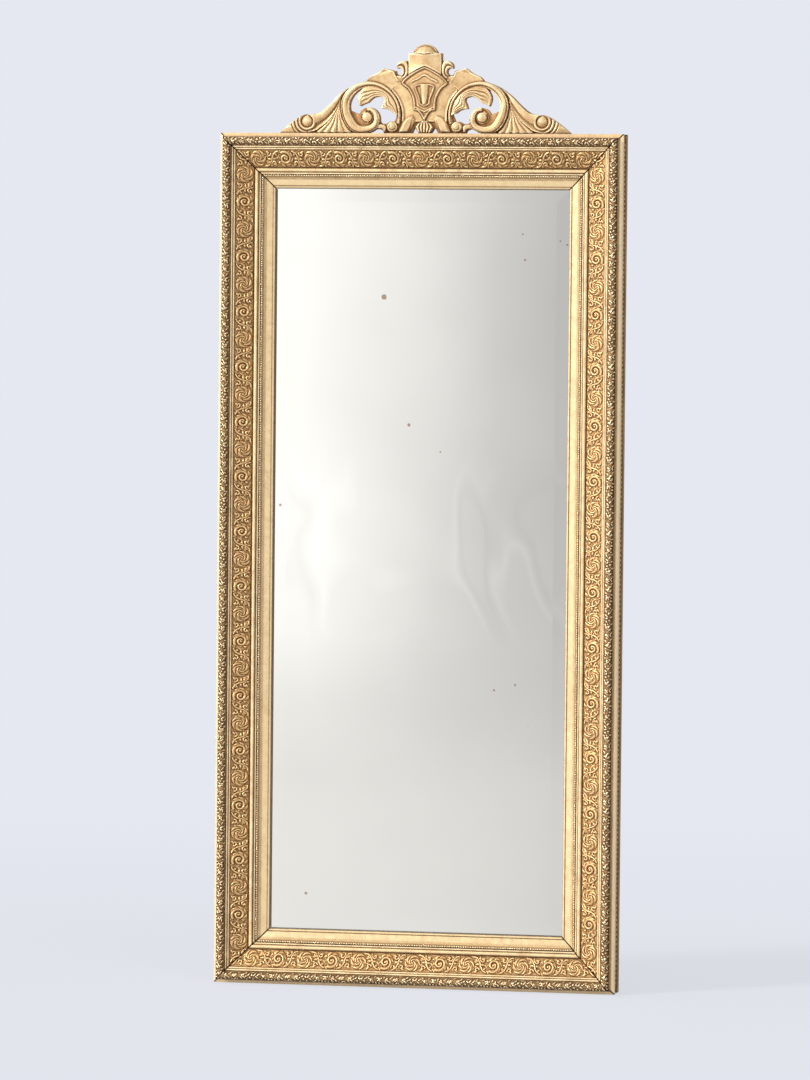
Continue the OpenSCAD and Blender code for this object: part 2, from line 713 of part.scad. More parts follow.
// ---------------------------------------------------------------- ring hangers
hanger_x = rim_w / 2 - back_mid;
eye_out = ring_wire + pin_gap + strap_t;
pivot_y = y_back + eye_out + 0.4;
hanger_screw_r = 1.8;
hanger_bite = 20;    // length of a hanger screw in the stile
hanger_end = 12;     // lowest screw above the end of the strap
hanger_pitch = 18;   // second screw above the lowest
ring_clear = 16;     // upper screw below the bow of the hanging ring
hanger_screw_z = [
    -ring_r - ring_clear, -strap_len + hanger_end, -strap_len + hanger_end + hanger_pitch
];

// Screws of one hanger, head outward, pointing into the stile
module hanger_screw_row(r, whole) {
    for (z = hanger_screw_z) translate([0, strap_t, z]) rotate([90, 0, 0]) {
        cylinder(r = r, h = strap_t + hanger_bite + (whole ? 0 : eps));
        cylinder(r1 = 2 * r, r2 = r, h = strap_t);
    }
}
module at_hanger(side) translate([side * hanger_x, y_back, ring_z]) children();
module hanger_holes_local()
    translate([back_mid, frame_d, ring_z - flare - rim_h / 2])
        hanger_screw_row(hanger_screw_r + seat_gap / 2, false);
module hanger(side) color(steel) at_hanger(side) difference() {
    union() {
        translate([-strap_w / 2, 0, -strap_len]) cube([strap_w, strap_t, strap_len]);
        translate([-strap_w / 2, pivot_y - y_back, 0]) rotate([0, 90, 0])
            cylinder(r = eye_out, h = strap_w);
    }
    translate([-strap_w / 2 - eps, pivot_y - y_back, 0]) rotate([0, 90, 0])
        cylinder(r = ring_wire + pin_gap, h = strap_w + 2 * eps);
    hanger_screw_row(hanger_screw_r + seat_gap / 2, true);
}
module hanger_left() hanger(-1);
module hanger_right() hanger(1);

// D-shaped ring: its straight bar turns in the eye, its bow hangs down
module ring(side) color(steel) translate([side * hanger_x, pivot_y, ring_z]) {
    translate([-ring_r, 0, 0]) rotate([0, 90, 0]) cylinder(r = ring_wire, h = 2 * ring_r);
    rotate([90, 0, 0]) intersection() {
        rotate_extrude() translate([ring_r, 0]) circle(ring_wire);
        translate([-2 * ring_r, -2 * ring_r, -ring_wire]) cube([4 * ring_r, 2 * ring_r, 2 * ring_wire]);
    }
    for (k = [-1, 1]) translate([k * ring_r, 0, 0]) sphere(ring_wire);
}
module ring_left() ring(-1);
module ring_right() ring(1);
module hanger_screws() color(steel) for (side = [-1, 1])
    at_hanger(side) hanger_screw_row(hanger_screw_r, true);

stile_left();
stile_right();
rail_top();
rail_bottom();
slip_left();
slip_right();
slip_top();
slip_bottom();
frieze_left();
frieze_right();
frieze_top();
frieze_bottom();
leaf_torus_left();
leaf_torus_right();
leaf_torus_top();
leaf_torus_bottom();
beads_left();
beads_right();
beads_top();
beads_bottom();
pearls_left();
pearls_right();
pearls_top();
pearls_bottom();
mirror_plate();
glazing_blocks();
backboard(0);  // backboard_1
backboard(1);  // backboard_2
backboard(2);  // backboard_3
backboard(3);  // backboard_4
backboard(4);  // backboard_5
backboard(5);  // backboard_6
backboard_nails();
mitre_keys();
crest_board();
crest_scroll_left();
crest_scroll_right();
crest_wing_left();
crest_wing_right();
crest_cartouche();
crest_cap();
crest_batten_left();
crest_batten_right();
batten_screws();
hanger_left();
hanger_right();
ring_left();
ring_right();
hanger_screws();
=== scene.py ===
"""Gilt pier mirror: ornament, finishes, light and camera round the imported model.

Lengths are millimetres until a mesh is made. The ornament of each side is worked out
on a strip: s runs along the side from its middle, w inward from the torus edge, and
d back from the torus crown. The crest is worked out flat: u from its centre line
outward, v up from the frame, height out of its board.
"""
import math

import bpy
import numpy as np
from mathutils import Matrix, Vector


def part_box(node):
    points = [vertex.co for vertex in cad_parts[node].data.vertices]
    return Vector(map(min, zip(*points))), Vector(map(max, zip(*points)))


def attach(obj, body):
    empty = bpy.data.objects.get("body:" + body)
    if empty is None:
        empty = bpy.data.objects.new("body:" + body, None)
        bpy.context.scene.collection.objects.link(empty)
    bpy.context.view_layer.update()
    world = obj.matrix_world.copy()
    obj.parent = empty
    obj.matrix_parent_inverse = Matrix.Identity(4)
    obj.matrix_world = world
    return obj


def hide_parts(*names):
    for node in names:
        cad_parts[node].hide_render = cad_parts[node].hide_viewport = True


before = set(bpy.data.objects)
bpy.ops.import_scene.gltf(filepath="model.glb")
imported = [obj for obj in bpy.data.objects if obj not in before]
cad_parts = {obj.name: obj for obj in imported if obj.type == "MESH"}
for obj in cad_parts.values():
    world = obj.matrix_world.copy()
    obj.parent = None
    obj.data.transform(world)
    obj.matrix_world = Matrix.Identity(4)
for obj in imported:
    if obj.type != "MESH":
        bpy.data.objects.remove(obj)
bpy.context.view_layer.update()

MM = 0.001


def box_mm(node):
    """Lowest and highest corner of a CAD node, in millimetres."""
    return [[c / MM for c in corner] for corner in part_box(node)]


# ---------- sizes of the frame
TORUS_LO, TORUS_HI = box_mm("leaf_torus_left")
EDGE_X = -TORUS_LO[0]  # torus edge, from the centre line
FRONT = TORUS_LO[1]  # torus crown
TORUS_R = (TORUS_HI[0] - TORUS_LO[0]) / 2
LOW = box_mm("leaf_torus_bottom")[0][2]  # torus edge at the foot
HIGH = box_mm("leaf_torus_top")[1][2]  # torus edge at the head
MIDDLE_Z = (LOW + HIGH) / 2
BACK = box_mm("stile_left")[1][1]  # back of the frame
FRIEZE_LO, FRIEZE_HI = box_mm("frieze_left")
FRIEZE_W0 = FRIEZE_LO[0] + EDGE_X
FRIEZE_W1 = FRIEZE_HI[0] + EDGE_X
FRIEZE_W = FRIEZE_W1 - FRIEZE_W0
PEARL_LO, PEARL_HI = box_mm("pearls_left")
PEARL_W = (PEARL_LO[0] + PEARL_HI[0]) / 2 + EDGE_X
PEARL_D = PEARL_HI[1] - FRONT - 0.3
BEAD_LO, BEAD_HI = box_mm("beads_left")
BEAD_W = BEAD_HI[0] + EDGE_X
BEAD_D = (BEAD_LO[1] + BEAD_HI[1]) / 2 - FRONT
(_, CREST_FACE, CREST_BASE), (CREST_HALF, _, CREST_TOP) = box_mm("crest_board")
CREST_H = CREST_TOP - CREST_BASE

MITRE_GAP = 1.0
SIDES = ("left", "right", "top", "bottom")
RUN = {"left": HIGH - LOW, "right": HIGH - LOW, "top": 2 * EDGE_X, "bottom": 2 * EDGE_X}
TURNED_OVER = ("left", "top")  # on these sides a strip's own axes are left-handed

FRIEZE_FALL = 13.0  # how much deeper the inner edge of the frieze lies
FRIEZE_D0 = FRIEZE_HI[1] - FRONT - FRIEZE_FALL - 1.5
FRIEZE_RELIEF = 2.8
TORUS_RELIEF = 1.7
SKIN = 1.6  # thickness of the pressed ornament on the torus
REPEAT = 108.0  # the pressed ornament repeats at this length
TILE_CELL = 0.4
STRIP_STEP = 0.9
ROSETTE_R = 15.6
PEARL_PITCH = 3.5
PEARL_R = 1.75
BEAD_PITCH = 9.5
BEAD_R = 3.5
BEAD_STRETCH = 1.3


def place(side, s, w, d):
    """World position in millimetres of a point given on a side's strip."""
    x, z = {
        "left": (w - EDGE_X, MIDDLE_Z + s), "right": (EDGE_X - w, MIDDLE_Z + s),
        "top": (s, HIGH - w), "bottom": (s, LOW + w)
    }[side]
    return np.stack([x, FRONT + d, z], -1)


# ---------- mesh making
def add_object(name, data):
    """A new object in the scene."""
    obj = bpy.data.objects.new(name, data)
    bpy.context.scene.collection.objects.link(obj)
    return obj


def make_mesh(name, points, faces, relief):
    """A smooth-shaded mesh object from points in millimetres; relief says how far each
    point stands out of its surroundings, for the gilding to paint highlights and shade from."""
    mesh = bpy.data.meshes.new(name)
    mesh.from_pydata((points * MM).tolist(), [], faces)
    mesh.update()
    mesh.shade_smooth()
    layer = mesh.attributes.new("relief", "FLOAT", "POINT")
    layer.data.foreach_set("value", np.asarray(relief, dtype=np.float32).ravel())
    return add_object(name, mesh)


def ring_faces(rings, size, flip):
    """Quads of a closed tube of rings, and its two end caps."""
    i, k = np.meshgrid(np.arange(rings - 1), np.arange(size), indexing="ij")
    a, b = i * size + k, i * size + (k + 1) % size
    quads = np.stack([a, a + size, b + size, b], -1).reshape(-1, 4)
    caps = np.stack([np.arange(size)[::-1], (rings - 1) * size + np.arange(size)])
    if flip:
        quads, caps = quads[:, ::-1], caps[:, ::-1]
    return quads.tolist() + caps.tolist()


def finish_piece(obj, material, slot, *nodes):
    """Gives a piece its material and body, and hides the CAD nodes it stands for; slot is not used."""
    obj.data.materials.append(material)
    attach(obj, "root")
    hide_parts(*nodes)


def ornament_strip(name, side, front, back, tile):
    """A skin along one side: carved in front, plain behind, mitred at its ends.

    front and back are lists of (w, d, normal w, normal d, distance across)."""
    section = np.array(front + back, dtype=float)
    count = int(RUN[side] / STRIP_STEP)
    half = RUN[side] / 2 - section[:, 0] - MITRE_GAP / math.sqrt(2)
    s = np.linspace(-1, 1, count)[:, None] * half
    height, relief = np.zeros_like(s), np.zeros_like(s)
    n = len(front)
    across = np.broadcast_to(section[:n, 4], (count, n))
    height[:, :n] = tile.read(tile.height, s[:, :n], across)
    relief[:, :n] = tile.read(tile.relief, s[:, :n], across)
    w = section[:, 0] + height * section[:, 2]
    d = section[:, 1] + height * section[:, 3]
    points = place(side, s, w, d).reshape(-1, 3)
    return make_mesh(name, points, ring_faces(count, len(section), side in TURNED_OVER), relief)


# ---------- ornament
# Each ornament is pressed from one mould, so it is worked out once, on a tile as long as
# the repeat, and read back along every side.
def arch(x):
    """A round ridge: 1 at 0, and 0 at -1, 1 and beyond."""
    return np.sqrt(np.clip(1 - x * x, 0, None))


def ramp(x, start, length):
    """0 at a start, 1 a length further on, flat outside; a negative length looks back."""
    return np.clip((x - start) / length, 0, 1)


def highest(*values):
    """Highest of some heights; of signed distances, what all the forms share."""
    return np.maximum.reduce(values)


def offset(s, t, at):
    """Distance from a point along the repeat, the short way round, and across."""
    return (s - at[0] + REPEAT / 2) % REPEAT - REPEAT / 2, t - at[1]


def leaf(s, t, at, angle, length, width, bend, vein=0.35, lobes=0):
    """Height of one leaf that grows from a point, heads at an angle and bends."""
    c, n = math.cos(math.radians(angle)), math.sin(math.radians(angle))
    ds, dt = offset(s, t, at)
    along = (ds * c + dt * n) / length
    side = -ds * n + dt * c - bend * length * along * along
    inside = np.clip(along, 0, 1)
    edge = 1 - 0.35 * np.abs(np.sin(np.pi * lobes * inside))
    half = width * edge * np.sin(np.pi * inside ** 0.8) + 1e-6
    body = arch(side / half) * (along > 0) * (along < 1)
    notch = 1 - vein * np.exp(-(side / (0.16 * width)) ** 2)
    return body * notch * (0.6 + 0.4 * np.sin(np.pi * inside))


def berry(s, t, at, radius):
    """Height of a round berry."""
    return arch(np.hypot(*offset(s, t, at)) / radius)


def stem(s, t, path, thick, thin):
    """Height of a round stem along a path, tapering from its start to its end."""
    best = np.full(s.shape, 9.0)
    count = len(path) - 1
    for i, (a, b) in enumerate(zip(path[:-1], path[1:])):
        ex, ey = b[0] - a[0], b[1] - a[1]
        ds, dt = offset(s, t, a)
        q = np.clip((ds * ex + dt * ey) / (ex * ex + ey * ey), 0, 1)
        radius = thick + (thin - thick) * (i + q) / count
        best = np.minimum(best, np.hypot(ds - q * ex, dt - q * ey) / radius)
    return arch(best)


def spiral_path(at, start, end, turn0, turn1, steps):
    """Points of a spiral round a centre, from one radius and bearing to another."""
    k = np.linspace(0, 1, steps)
    r, turn = start + (end - start) * k ** 0.8, turn0 + (turn1 - turn0) * k
    return np.stack([at[0] + r * np.cos(turn), at[1] + r * np.sin(turn)], -1)


def bearings(s, t, at):
    """Radius and angle about a point along the repeat."""
    ds, dt = offset(s, t, at)
    return np.hypot(ds, dt), np.arctan2(dt, ds)


def whorl(r, angle, inner, outer, petals, twist, phase):
    """A ring of curled petals between two radii, each steep on one side."""
    band = arch((r - (inner + outer) / 2) / ((outer - inner) / 2))
    turn = (angle * petals / (2 * np.pi) + twist * np.log(np.maximum(r, 0.3) / outer) + phase) % 1
    return band ** 0.6 * (0.2 + 0.8 * np.sin(np.pi * turn ** 0.7) ** 0.8)


def rose(s, t, at):
    """A whorled rose with a bud and two rings of petals."""
    r, angle = bearings(s, t, at)
    bud = 0.95 * arch(r / 3.4) - 0.3 * np.exp(-((r - 1.7) / 0.6) ** 2)
    near = 0.95 * whorl(r, angle, 2.6, 9.4, 4, 1.2, 0.1)
    far = 0.9 * whorl(r, angle, 8.4, ROSETTE_R, 6, 1.5, 0.45)
    return highest(bud, near, far)


def volute(s, t, at):
    """A stem wound up round a button, with broken petals outside."""
    r, angle = bearings(s, t, at)
    wound = 0.95 * stem(s, t, spiral_path(at, 13.4, 3.4, -2.1, 7.0, 40), 2.9, 1.6)
    button = 0.9 * berry(s, t, at, 2.8)
    lobes = 0.8 * whorl(r, angle, 9.8, ROSETTE_R + 0.6, 8, 1.1, 0.2) * (np.sin(angle + 0.8) > -0.3)
    return highest(wound, button, lobes)


# A leafy stem, from its middle: its path, the centres and bearings of its curls, and
# its leaves as place along and across, heading, length, width, bend
STEM = [(-11.5, 14.6), (-7, 13.8), (-3, 10), (0, 4), (1.5, -2), (4, -8), (8, -12), (12.5, -14)]
CURLS = [(5.6, 9.4, math.pi), (-5.6, -9, 0.0)]
LEAVES = [
    (-1, 6, 150, 9.5, 2.6, 0.25), (1, -1, 30, 8.5, 2.5, -0.25), (3, -7, 100, 8, 2.3, 0.3),
    (6, -11, 60, 8.5, 2.4, -0.2), (-6, 13, -120, 8.5, 2.4, 0.2), (-2, 9, 60, 8.5, 2.3, 0.3),
    (0, 3, 210, 8.5, 2.4, -0.3), (11, 13, 190, 8, 2.2, 0.2), (-11, -13, 10, 8, 2.2, 0.2)
]


def leafy_stem(s, t, x, mid, hand):
    """Height of one stem with its curls and leaves; hand -1 turns it left for right."""
    h = 0.85 * stem(s, t, [(x + hand * a, mid + b) for a, b in STEM], 1.8, 1.6)
    for a, b, bearing in CURLS:
        first = bearing if hand > 0 else math.pi - bearing
        curl = spiral_path((x + a * hand, mid + b), 4.8, 1.4, first, first + 5.0 * hand, 14)
        h = np.maximum(h, 0.9 * stem(s, t, curl, 1.6, 1.4))
    for a, b, angle, length, wide, bend in LEAVES:
        lean = angle if hand > 0 else 180 - angle
        h = np.maximum(h, 0.85 * leaf(s, t, (x + hand * a, mid + b), lean, length, wide, bend * hand))
    return h


def frieze_mould(s, t):
    """Roses and volutes in turn on a ground of small leaves, joined by leafy stems."""
    mid = FRIEZE_W / 2
    rng = np.random.default_rng(5)
    h = 0.06 * rng.random(s.shape)
    for k in range(40):
        at = (k * REPEAT / 40, rng.uniform(1, FRIEZE_W - 1))
        h = np.maximum(h, 0.5 * leaf(s, t, at, rng.uniform(0, 360), rng.uniform(6, 10), 2.0, 0.35))
    h = highest(
        h, rose(s, t, (0, mid)), volute(s, t, (REPEAT / 2, mid)),
        leafy_stem(s, t, REPEAT / 4, mid, 1), leafy_stem(s, t, -REPEAT / 4, mid, -1)
    )
    return FRIEZE_RELIEF * h * ramp(np.minimum(t, FRIEZE_W - t), 0, 1.2)


def torus_mould(s, t):
    """Dense running leaves and clusters of berries; t is measured round the torus."""
    mid = math.pi * TORUS_R / 2
    rng = np.random.default_rng(11)
    h = np.zeros_like(s)
    for k in range(34):
        hand = 1 if k % 2 else -1
        at = (k * REPEAT / 34, mid + hand * rng.uniform(0, 4) + 4.5 * math.sin(k * 1.9))
        angle = hand * rng.uniform(20, 70)
        h = np.maximum(h, rng.uniform(0.6, 1) * leaf(
            s, t, at, angle, rng.uniform(7, 12), rng.uniform(1.7, 2.6), 0.3 * hand, 0.55, 2))
    for x in (8, 27, 45, 62, 81, 99):
        for _ in range(5):
            at = (x + rng.uniform(-3.5, 3.5), mid + rng.uniform(-7, 7))
            h = np.maximum(h, 0.95 * berry(s, t, at, 1.7))
    return TORUS_RELIEF * (h - 0.7) * ramp(np.minimum(t, 2 * mid - t), 0, 2.5)


def box_blur(h, cells):
    """Mean over a square window; the first axis is the repeat and joins up."""
    for _ in range(2):
        h = sum(np.roll(h, k, axis=0) for k in range(-cells, cells + 1)) / (2 * cells + 1)
        p = np.pad(h, ((0, 0), (cells, cells)), mode="edge")
        h = sum(p[:, k:k + h.shape[1]] for k in range(2 * cells + 1)) / (2 * cells + 1)
    return h


class Tile:
    """One repeat of a moulded ornament: its height, and how far it stands out."""

    def __init__(self, mould, width, spread):
        self.ns = int(REPEAT / TILE_CELL)
        self.nt = int(width / TILE_CELL) + 1
        s = np.arange(self.ns) * REPEAT / self.ns
        t = np.linspace(0, width, self.nt)
        self.width = width
        self.height = mould(*np.meshgrid(s, t, indexing="ij"))
        self.relief = np.clip(0.5 + (self.height - box_blur(self.height, 3)) / spread, 0, 1)

    def read(self, table, s, t):
        """Reads a table between its cells."""
        x = (s % REPEAT) / REPEAT * self.ns
        y = np.clip(t / self.width, 0, 1) * (self.nt - 1)
        i, k = np.floor(x).astype(int), np.minimum(np.floor(y).astype(int), self.nt - 2)
        fx, fy = x - i, y - k
        i0, i1 = i % self.ns, (i + 1) % self.ns
        low = table[i0, k] * (1 - fx) + table[i1, k] * fx
        high = table[i0, k + 1] * (1 - fx) + table[i1, k + 1] * fx
        return low * (1 - fy) + high * fy


def torus_section():
    """The torus skin: an outer half ring to carve, and the plain ring behind it."""
    front = [
        (TORUS_R - TORUS_R * math.cos(a), TORUS_R - TORUS_R * math.sin(a), -math.cos(a), -math.sin(a),
         TORUS_R * a)
        for a in np.linspace(0, math.pi, 30)
    ]
    inner = TORUS_R - SKIN
    back = [
        (TORUS_R - inner * math.cos(a), TORUS_R - inner * math.sin(a), 0, 0, 0)
        for a in np.linspace(math.pi, 0, 9)
    ]
    return front, back


def frieze_section():
    """The frieze skin: its sloping front, and the plain back."""
    slope = math.hypot(FRIEZE_W, FRIEZE_FALL)
    nw, nd = FRIEZE_FALL / slope, -FRIEZE_W / slope
    front = [
        (FRIEZE_W0 + q * FRIEZE_W, FRIEZE_D0 + q * FRIEZE_FALL, nw, nd, q * FRIEZE_W)
        for q in np.linspace(0, 1, 39)
    ]
    back = [(FRIEZE_W1, FRIEZE_D0 + FRIEZE_FALL + 1.4, 0, 0, 0), (FRIEZE_W0, FRIEZE_D0 + 1.4, 0, 0, 0)]
    return front, back


def ball_template(around, levels):
    """Points and faces of a small ball of radius 1, its poles along the third axis."""
    belts = [
        (math.sin(a) * math.cos(b), math.sin(a) * math.sin(b), -math.cos(a))
        for a in [math.pi * i / levels for i in range(1, levels)]
        for b in [2 * math.pi * k / around for k in range(around)]
    ]
    top = len(belts) + 1
    last = top - around
    pairs = [(k, (k + 1) % around) for k in range(around)]
    faces = [(0, 1 + b, 1 + a) for a, b in pairs]
    faces += [
        (i + a, i + b, i + b + around, i + a + around) for i in range(1, last, around) for a, b in pairs
    ]
    faces += [(last + a, last + b, top) for a, b in pairs]
    return np.array([(0, 0, -1)] + belts + [(0, 0, 1)], dtype=float), faces


def string_of(name, side, w, d, pitch, radius, template, inset, stretch=1.0):
    """A row of balls along one side, strung so close that they meet."""
    points, faces = template
    count = int(2 * (RUN[side] / 2 - inset) / pitch)
    x, y, z = points.T * radius
    middles = (np.arange(count) - (count - 1) / 2) * pitch
    all_points = np.concatenate([place(side, s + z * stretch, w + x, d + y) for s in middles])
    all_faces = [tuple(v + i * len(points) for v in f) for i in range(count) for f in faces]
    # Painted light: relief is highest on the front of each ball and falls away to its back and its ends, so
    # the gilding paints highlight and shade on it.
    relief = np.tile(np.clip(0.55 - 0.55 * points[:, 1], 0, 1) * (1 - np.abs(points[:, 2]) ** 3), count)
    obj = make_mesh(name, all_points, all_faces, relief)
    if side in TURNED_OVER:
        obj.data.flip_normals()
    return obj


# ---------- crest
CELL = 0.8
RELIEF = 14.0
LEAST_RELIEF = 2.4
SHARP_EDGE = math.radians(62)
EYE = (114.8, 32.6)
EYE_R = 11.2
BALL = (CREST_HALF - 55.6, 24.0)
BALL_R = 12.2
FOOT = (64.5, 13.4)
FOOT_R = 10.3
NOTCH = (51.4, 121.5)
NOTCH_R = 7.2
CAP_HALF = 33.0
CAP_TOP = 157.5
DOME_H = 17.5
DOME_R = (24.8 ** 2 + DOME_H ** 2) / (2 * DOME_H)
DOME_V = CREST_H - DOME_R  # height of the dome's centre
# Outer radius and band width of the C-scroll at each eighth of a turn round its eye
SCROLL_OUT = [18.5, 21.5, 24.6, 28.5, 32, 40, 48.5, 64, 70, 70, 67, 63]
SCROLL_BAND = [6, 8, 10.5, 12, 14, 17, 19, 17, 11, 7.5, 6.5, 6]
SCROLL_END = 462
# The hanging leaf: turn round the eye, outer radius (0: along the band), inner radius
LEAF_ROWS = np.array([
    [327, 27.5, 25.4], [331, 38.3, 25.6], [337, 45.8, 25.8], [346, 53.7, 26.1], [352, 0, 26.6],
    [364, 0, 28.7], [371, 0, 34], [378, 0, 39.9], [389, 0, 46.5], [401, 0, 49.8], [407, 0, 46.8],
    [411, 0, 40], [420, 0, 33.1], [427, 0, 40.5], [433, 0, 46.5], [442, 0, 53.2], [449, 0, 58]
])
EAR_TOP = [(111, 110.5), (101, 115.5), (92.6, 120), (82, 128)]
WING_TOP = [(150, 90.6), (164, 82.5), (176, 71.9), (191, 56.2), (206, 43.2), (217, 38.9), (236, 36.8)]
WING_LOW = [
    (152, 89), (165.9, 73), (170.8, 61), (176.7, 47.8), (185.5, 34), (195.3, 22.4), (207, 12.7), (217, 6),
    (236, 1)
]
CARTOUCHE = [
    (0, 131.8), (14.5, 125.4), (30.3, 115.8), (41.5, 106.3), (45.5, 98), (33, 87.5),
    (25.5, 74.5), (22.6, 64.6), (21.8, 52.6), (21, 46), (13.6, 44.6), (7.2, 38), (0, 24.5)
]
SHIELD = [(0, 98), (12, 97), (20, 93), (17.4, 82), (12, 68), (11, 58.5), (5, 54.5), (0, 52)]
HOOK = [
    (79.5, 0.8), (77, 5), (75.5, 12), (79, 17), (86, 18.6), (94, 18.8), (101, 15), (98, 9), (91, 9.6),
    (84, 8), (82, 3), (79.5, 0.8)
]
CURL_REACH = [
    (50, 8), (58, 9.4), (71, 13.4), (87, 18), (104, 22.2), (122, 24.4), (140, 22), (165, 18), (225, 17)
]
LOBE = [
    (23, 37), (33, 34.5), (42, 26), (47, 15), (51, 6), (50, 1), (40, 1), (32, 3), (26, 12), (21, 21),
    (18, 29), (23, 37)
]


def spline(points, steps=6):
    """Catmull-Rom curve through the points."""
    p = np.asarray(points, dtype=float)
    q = np.vstack([p[:1], p, p[-1:]])
    t = np.linspace(0, 1, steps, endpoint=False)[:, None]
    out = [
        0.5 * (2 * b + (c - a) * t + (2 * a - 5 * b + 4 * c - d) * t ** 2 + (3 * b - a - 3 * c + d) * t ** 3)
        for a, b, c, d in zip(q[:-3], q[1:-2], q[2:-1], q[3:])
    ]
    return np.vstack(out + [p[-1:]])


def reading(values, turn):
    """Smooth reading of values given at each eighth of a turn."""
    dense = spline(np.array(values, dtype=float)[:, None], 8)[:, 0]
    return np.interp(np.maximum(turn, 0) / 45, np.linspace(0, len(values) - 1, len(dense)), dense)


def scroll_r(turn):
    return reading(SCROLL_OUT, turn) + np.minimum(turn, 0) / 90


def band_w(turn):
    return reading(SCROLL_BAND, turn)


def band_in(turn):
    return scroll_r(turn) - band_w(turn)


def about(centre, u, v):
    """Radius and turn about a centre; turn 0 is straight up and grows inward."""
    du, dv = u - centre[0], v - centre[1]
    return np.hypot(du, dv), np.degrees(np.arctan2(-du, dv)) % 360


def round_eye(turns, radius):
    """Points round the eye, at a radius that is a function of the turn."""
    return [
        (EYE[0] - radius(t) * math.sin(math.radians(t)), EYE[1] + radius(t) * math.cos(math.radians(t)))
        for t in turns
    ]


def outside(u, v, outline):
    """Signed distance to a closed outline, negative inside."""
    a = np.asarray(outline, dtype=float)
    b = np.roll(a, -1, axis=0)
    best = np.full(u.shape, 1e9)
    inside = np.zeros(u.shape, dtype=bool)
    for (ax, ay), (bx, by) in zip(a, b):
        ex, ey = bx - ax, by - ay
        length = ex * ex + ey * ey
        if length < 1e-12:
            continue
        q = np.clip(((u - ax) * ex + (v - ay) * ey) / length, 0, 1)
        best = np.minimum(best, (u - ax - q * ex) ** 2 + (v - ay - q * ey) ** 2)
        if ay != by:
            inside ^= ((ay > v) != (by > v)) & (u < (v - ay) * ex / ey + ax)
    return np.where(inside, -1, 1) * np.sqrt(best)


def crest_outline(u, v):
    """Signed distance to the fretted outline of the right half."""
    h = CREST_HALF
    wing = spline([
        (h, 2), (h - 18, 17), (h - 35, 29), (h - 50, 36.4), (h - 62, 37.6), (h - 80, 41.5), (192, 55.4),
        (176, 71.4), (161.5, 83), (146.6, 92.2), (130, 99.4), (117, 103.5)
    ])
    curl = spline([(56, 129), (55.6, 134), (52.5, 139.2), (46.1, 142.6), (39, 142.4)])
    body = outside(u, v, np.vstack([
        [(-40, 0), (h, 0)], wing, spline([(117, 103.5)] + EAR_TOP), [NOTCH], curl,
        [(CAP_HALF, 142.5), (CAP_HALF, CAP_TOP - 2), (CAP_HALF - 2, CAP_TOP), (-40, CAP_TOP)]
    ]))
    dome = highest(np.hypot(u, v - DOME_V) - DOME_R, CAP_TOP - 2 - v)
    notch = NOTCH_R - np.hypot(u - NOTCH[0], v - NOTCH[1])
    leaf_in = dict(LEAF_ROWS[:-1, [0, 2]])
    leaf_out = dict(LEAF_ROWS[:4, :2])
    hole = (round_eye(range(290, 345, 6), band_in) + round_eye(reversed(leaf_out), leaf_out.get)
            + round_eye(leaf_in, leaf_in.get) + round_eye([446], band_in)
            + [(61, 24), (69, 24.5), (78, 19.5), (87, 20)] + round_eye(range(108, -73, -6), scroll_r))
    under = ([(81.5, -1), (83.5, 5.5), (87, 8.2), (92, 9.3)] + round_eye(range(146, 179, 8), scroll_r)
             + [(114, -1)])
    between_feet = [(11.5, -1), (27, -1), (20, 13.4)]
    body = highest(np.minimum(body, dome), notch)
    for cut in (hole, under, between_feet):
        body = highest(body, -outside(u, v, cut))
    return body


def ridge(s, mid, half):
    """A round ridge across a section."""
    return arch((s - mid) / half)


def fluted(s, count, depth):
    """Rounded flutes side by side."""
    return 1 - depth + depth * np.abs(np.sin(np.pi * count * s)) ** 0.7


def groove(distance, half):
    """1 on a line, falling to 0 at half a groove's width and beyond."""
    return np.clip(1 - np.abs(distance) / half, 0, 1) ** 0.7


